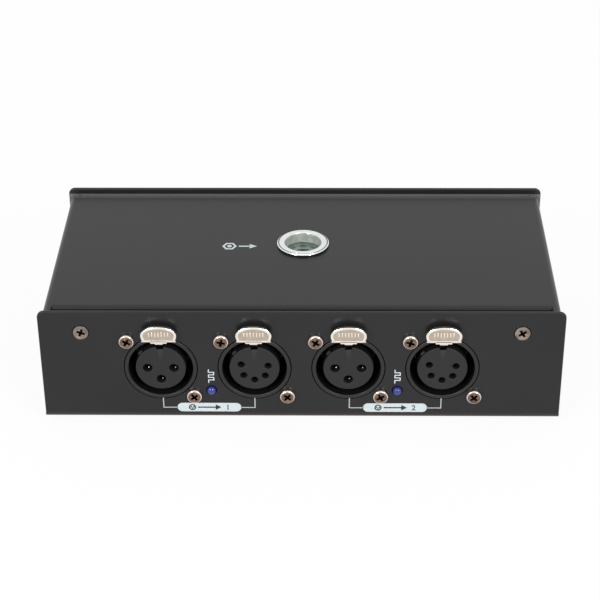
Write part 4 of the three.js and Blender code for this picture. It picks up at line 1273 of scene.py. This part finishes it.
def inlet_and_inner_parts():
    softened("inlet_housing", "mains_inlet", 0.25, housing_plastic)
    softened("fuse_drawer", "fuse_tray", 0.2, housing_plastic, "drawer")
    for side in ("left", "right", "earth"):
        softened(f"inlet_blade_{side}", f"mains_blade_{side}", 0.15, tin)
    for name in ("line_driver_1", "line_driver_2"):
        dress(name, chip_package(name))
    dress("fuse", glass_and_caps())
    dress("circuit_board", solder_mask())
    dress("supply_transformer", wound_ferrite())
    dress("smoothing_capacitor", sleeved_can())
    for name in ("board_screw_1", "board_screw_2", *[o + "_latch_pin" for o in outputs]):
        dress(name, tin)


def dress(node, finish):
    """Gives a solid of the frame a finish of its own."""
    materials = nodes[node].data.materials
    materials.clear()
    materials.append(finish)


# Feet
def feet():
    for node in [f"foot_{end}_{side}" for end in ("front", "rear") for side in ("left", "right")]:
        low, high = corners(node)
        radius, height = (high.x - low.x) / 2, high.z - low.z
        well = [(1.6, height), (1.3, height - foot_well), (0, height - foot_well)]
        section = eased([(0, 0), (radius, 0), (radius - foot_taper, height), *well], foot_rim_ease)
        body = spun(turned(section, 64), -math.pi / 2, "X")
        centre = (low + high) / 2
        piece(node + "_pad", body, [foot_rubber], [node], (centre.x, centre.y, high.z))


# Printing
def lozenge(x):
    """White lozenge with fully round ends."""
    bm = plate(lozenge_half_width, lozenge_half_height)
    bevelled(bm, bm.verts[:], lozenge_half_height - 0.01, 12, "VERTICES")
    return film(bm, x, lozenge_height)


def film(bm, x, z, lift=0.0):
    """A flat drawing stood up on the front panel as a film of ink."""
    return moved(spun(raised(bm, (0, 0, ink)), math.pi / 2, "X"), x, -lift, panel_foot + z)


def stroke(x0, z0, x1, z1):
    """A printed line on the front panel, as a thin block."""
    return block((x0, -ink, panel_foot + z0), (x1, 0.01, panel_foot + z1))


def numeral(text, height):
    """A plain number as a flat mesh."""
    drawn = bpy.data.curves.new("numeral", "FONT")
    drawn.body = text
    drawn.size = height / glyph_cap_share
    drawn.align_x = "CENTER"
    drawn.resolution_u = 6
    drawn.offset = numeral_weight
    written = shown("numeral", drawn).evaluated_get(bpy.context.evaluated_depsgraph_get())
    flat = bpy.data.meshes.new_from_object(written)
    bm = bmesh.new()
    bm.from_mesh(flat)
    bpy.data.meshes.remove(flat)
    bpy.data.curves.remove(drawn)
    return moved(merged(bm), y=-height / 2)


def front_printing():
    """Lozenge over each pair of sockets, with thin lines that lead to both."""
    half = lead_width / 2
    low, high = lead_height - half, lead_height + half
    for number, (x, top) in enumerate(zip(lozenge_places, lead_tops), 1):
        leads = []
        for side in (-1, 1):
            end = x + side * lead_reach
            near, far = sorted((end, x + side * (lozenge_half_width - 0.2)))
            leads.append(stroke(end - half, low, end + half, top))
            leads.append(stroke(near + half * (side < 0), low, far - half * (side > 0), high))
        ink_on(f"lead_lines_{number}", joined(*leads), grey_ink)
        ink_on(f"lozenge_{number}", lozenge(x), white_ink)
        ink_on(f"lozenge_marks_{number}", lozenge_marks(x, str(number)), dark_ink)
        ink_on(f"pulse_sign_{number}", pulse_sign(lamp_places[number - 1]), white_ink)


def ink_on(name, bm, shade):
    """A print on the front panel."""
    piece(name, bm, [shade], (), (0, front_face, 0))


def lozenge_marks(x, text):
    """Plain signs on a lozenge: a round socket, an arrow out of it and the pair's number."""
    dots = [moved(flat_disc(12, 0.24), *spot) for spot in sign_dots]
    rim, bore, socket_at = socket_sign
    tip, tip_at = arrow_sign
    start, end, half = shaft_sign
    shaft = moved(stroke(x + start, lozenge_height - half, x + end, lozenge_height + half), y=-ink)
    socket = joined(flat_ring(40, rim, bore), *dots)
    marks = ((socket, socket_at), (flat_disc(3, tip), tip_at), (numeral(text, numeral_height), figure_sign))
    return joined(shaft, *[film(bm, x + along, lozenge_height, ink) for bm, along in marks])


def flat_ring(sides, outer, inner):
    """A flat ring with straight sides and a corner to the right."""
    bm = bmesh.new()
    for radius in (outer, inner):
        bmesh.ops.create_circle(bm, segments=sides, radius=radius)
    bmesh.ops.bridge_loops(bm, edges=bm.edges[:])
    return spun(bm, -math.pi / 2, "Z")


def flat_disc(sides, radius):
    """A flat disc with straight sides and a corner to the right."""
    bm = bmesh.new()
    bmesh.ops.create_circle(bm, cap_ends=True, segments=sides, radius=radius)
    return spun(bm, -math.pi / 2, "Z")


def pulse_sign(x):
    """Square wave over a status lamp, standing for the data signal."""
    wide, thin = pulse_half_width, pulse_half_stroke
    step = (pulse_high - pulse_low) / 5
    levels = [pulse_low + i * step for i in range(5)]
    lines = []
    for i, z in enumerate(levels):
        side = x + (wide if i % 2 else -wide)
        lines.append(stroke(side - thin, z - thin, side + thin, z + step + thin))
    lines += [stroke(x - wide + thin, z - thin, x + wide - thin, z + thin) for z in levels[1:]]
    return joined(*lines)


def top_sign():
    """Small printed nut with an arrow towards the clamp nut."""
    rim, bore, dot = nut_sign
    tip, tip_at = nut_arrow
    shaft_half, shaft_rise, shaft_at = nut_shaft
    arrow = joined(moved(flat_disc(3, tip), x=tip_at), moved(plate(shaft_half, shaft_rise), x=shaft_at))
    sign = raised(joined(flat_ring(6, rim, bore), flat_disc(32, dot), arrow), (0, 0, ink))
    piece("clamp_sign", sign, [white_ink], (), (*nut_sign_place, cover_high.z))


# The object
chassis()
cover()
clamp_nut()
for connector, seat in seats.items():
    pattern = poles_3 if "3pole" in connector else poles_5
    if connector in outputs:
        socket_housing(connector, seat)
        socket_insert(connector, seat, pattern)
        latch(connector, seat)
    else:
        input_plug(connector, seat, pattern)
connector_screws()
case_screws()
for lamp_number in (1, 2):
    status_lamp(lamp_number)
inlet_and_inner_parts()
feet()
front_printing()
top_sign()


# Stage
def white_paper():
    """White paper that shows white to the camera and keeps a soft shadow."""
    finish = Finish("white_paper")
    paper = finish.add("ShaderNodeBsdfDiffuse", {}, {"Color": (*[paper_shade] * 3, 1)})
    light = finish.add("ShaderNodeEmission", {}, {"Strength": 1.0})
    share = finish.seen() * floor_light
    return finish.covered(finish.add("ShaderNodeMixShader", {}, {0: share, 1: paper, 2: light}))


def stage():
    mesh = meshed(plate(floor_half, floor_half), "floor")
    mesh.materials.append(white_paper())
    shown("floor", mesh)
    world = bpy.data.worlds.new("studio")
    bpy.context.scene.world = world
    tree = Tree(world)
    back = tree.nodes["Background"]
    tree.feed(back.inputs["Color"], (1, 1, 1, 1))
    tree.feed(back.inputs["Strength"], tree.seen() * (1 - room_light) + room_light)


def lamp(name, place, size, power):
    light = bpy.data.lights.new(name, "AREA")
    light.shape = "RECTANGLE"
    light.size, light.size_y = size
    light.energy = power
    thing = shown(name, light)
    thing.location = place
    thing.rotation_mode = "QUATERNION"
    thing.rotation_quaternion = (Vector((0, 0, 0.02)) - Vector(place)).to_track_quat("-Z", "Y")


def lamps():
    for side, x in softbox_places:
        lamp(f"softbox_{side}", (x, -1.1, 0.75), (softbox_size, softbox_size), 9)
    lamp("softbox_above", (0, 0.1, 1.4), (1.2, 0.6), 2)


# Camera, from a fit to the case's corners in the photograph
camera_place = Vector((7.875, -465.33, 306.56)) * MM
camera_yaw = -0.019
camera_pitch = 0.5527
camera_roll = -0.008
focal_pixels = 1789.6
picture_pixels = 600
sensor_width = 36


def camera():
    """A camera from its place, and how far it is turned, dipped and rolled."""
    turn, dip = (math.sin(camera_yaw), math.cos(camera_yaw)), math.cos(camera_pitch)
    ahead = Vector((turn[0] * dip, turn[1] * dip, -math.sin(camera_pitch)))
    level = Vector((turn[1], -turn[0], 0))
    up = level.cross(ahead)
    right = level * math.cos(camera_roll) + up * math.sin(camera_roll)
    top = up * math.cos(camera_roll) - level * math.sin(camera_roll)
    data = bpy.data.cameras.new("camera")
    data.sensor_width = sensor_width
    data.lens = focal_pixels / picture_pixels * sensor_width
    data.clip_start = 0.01
    eye = shown("camera", data)
    axes = Matrix((right, top, -ahead)).transposed().to_4x4()
    eye.matrix_world = Matrix.Translation(camera_place) @ axes
    bpy.context.scene.camera = eye


stage()
lamps()
camera()
bpy.context.scene.view_settings.view_transform = "Standard"
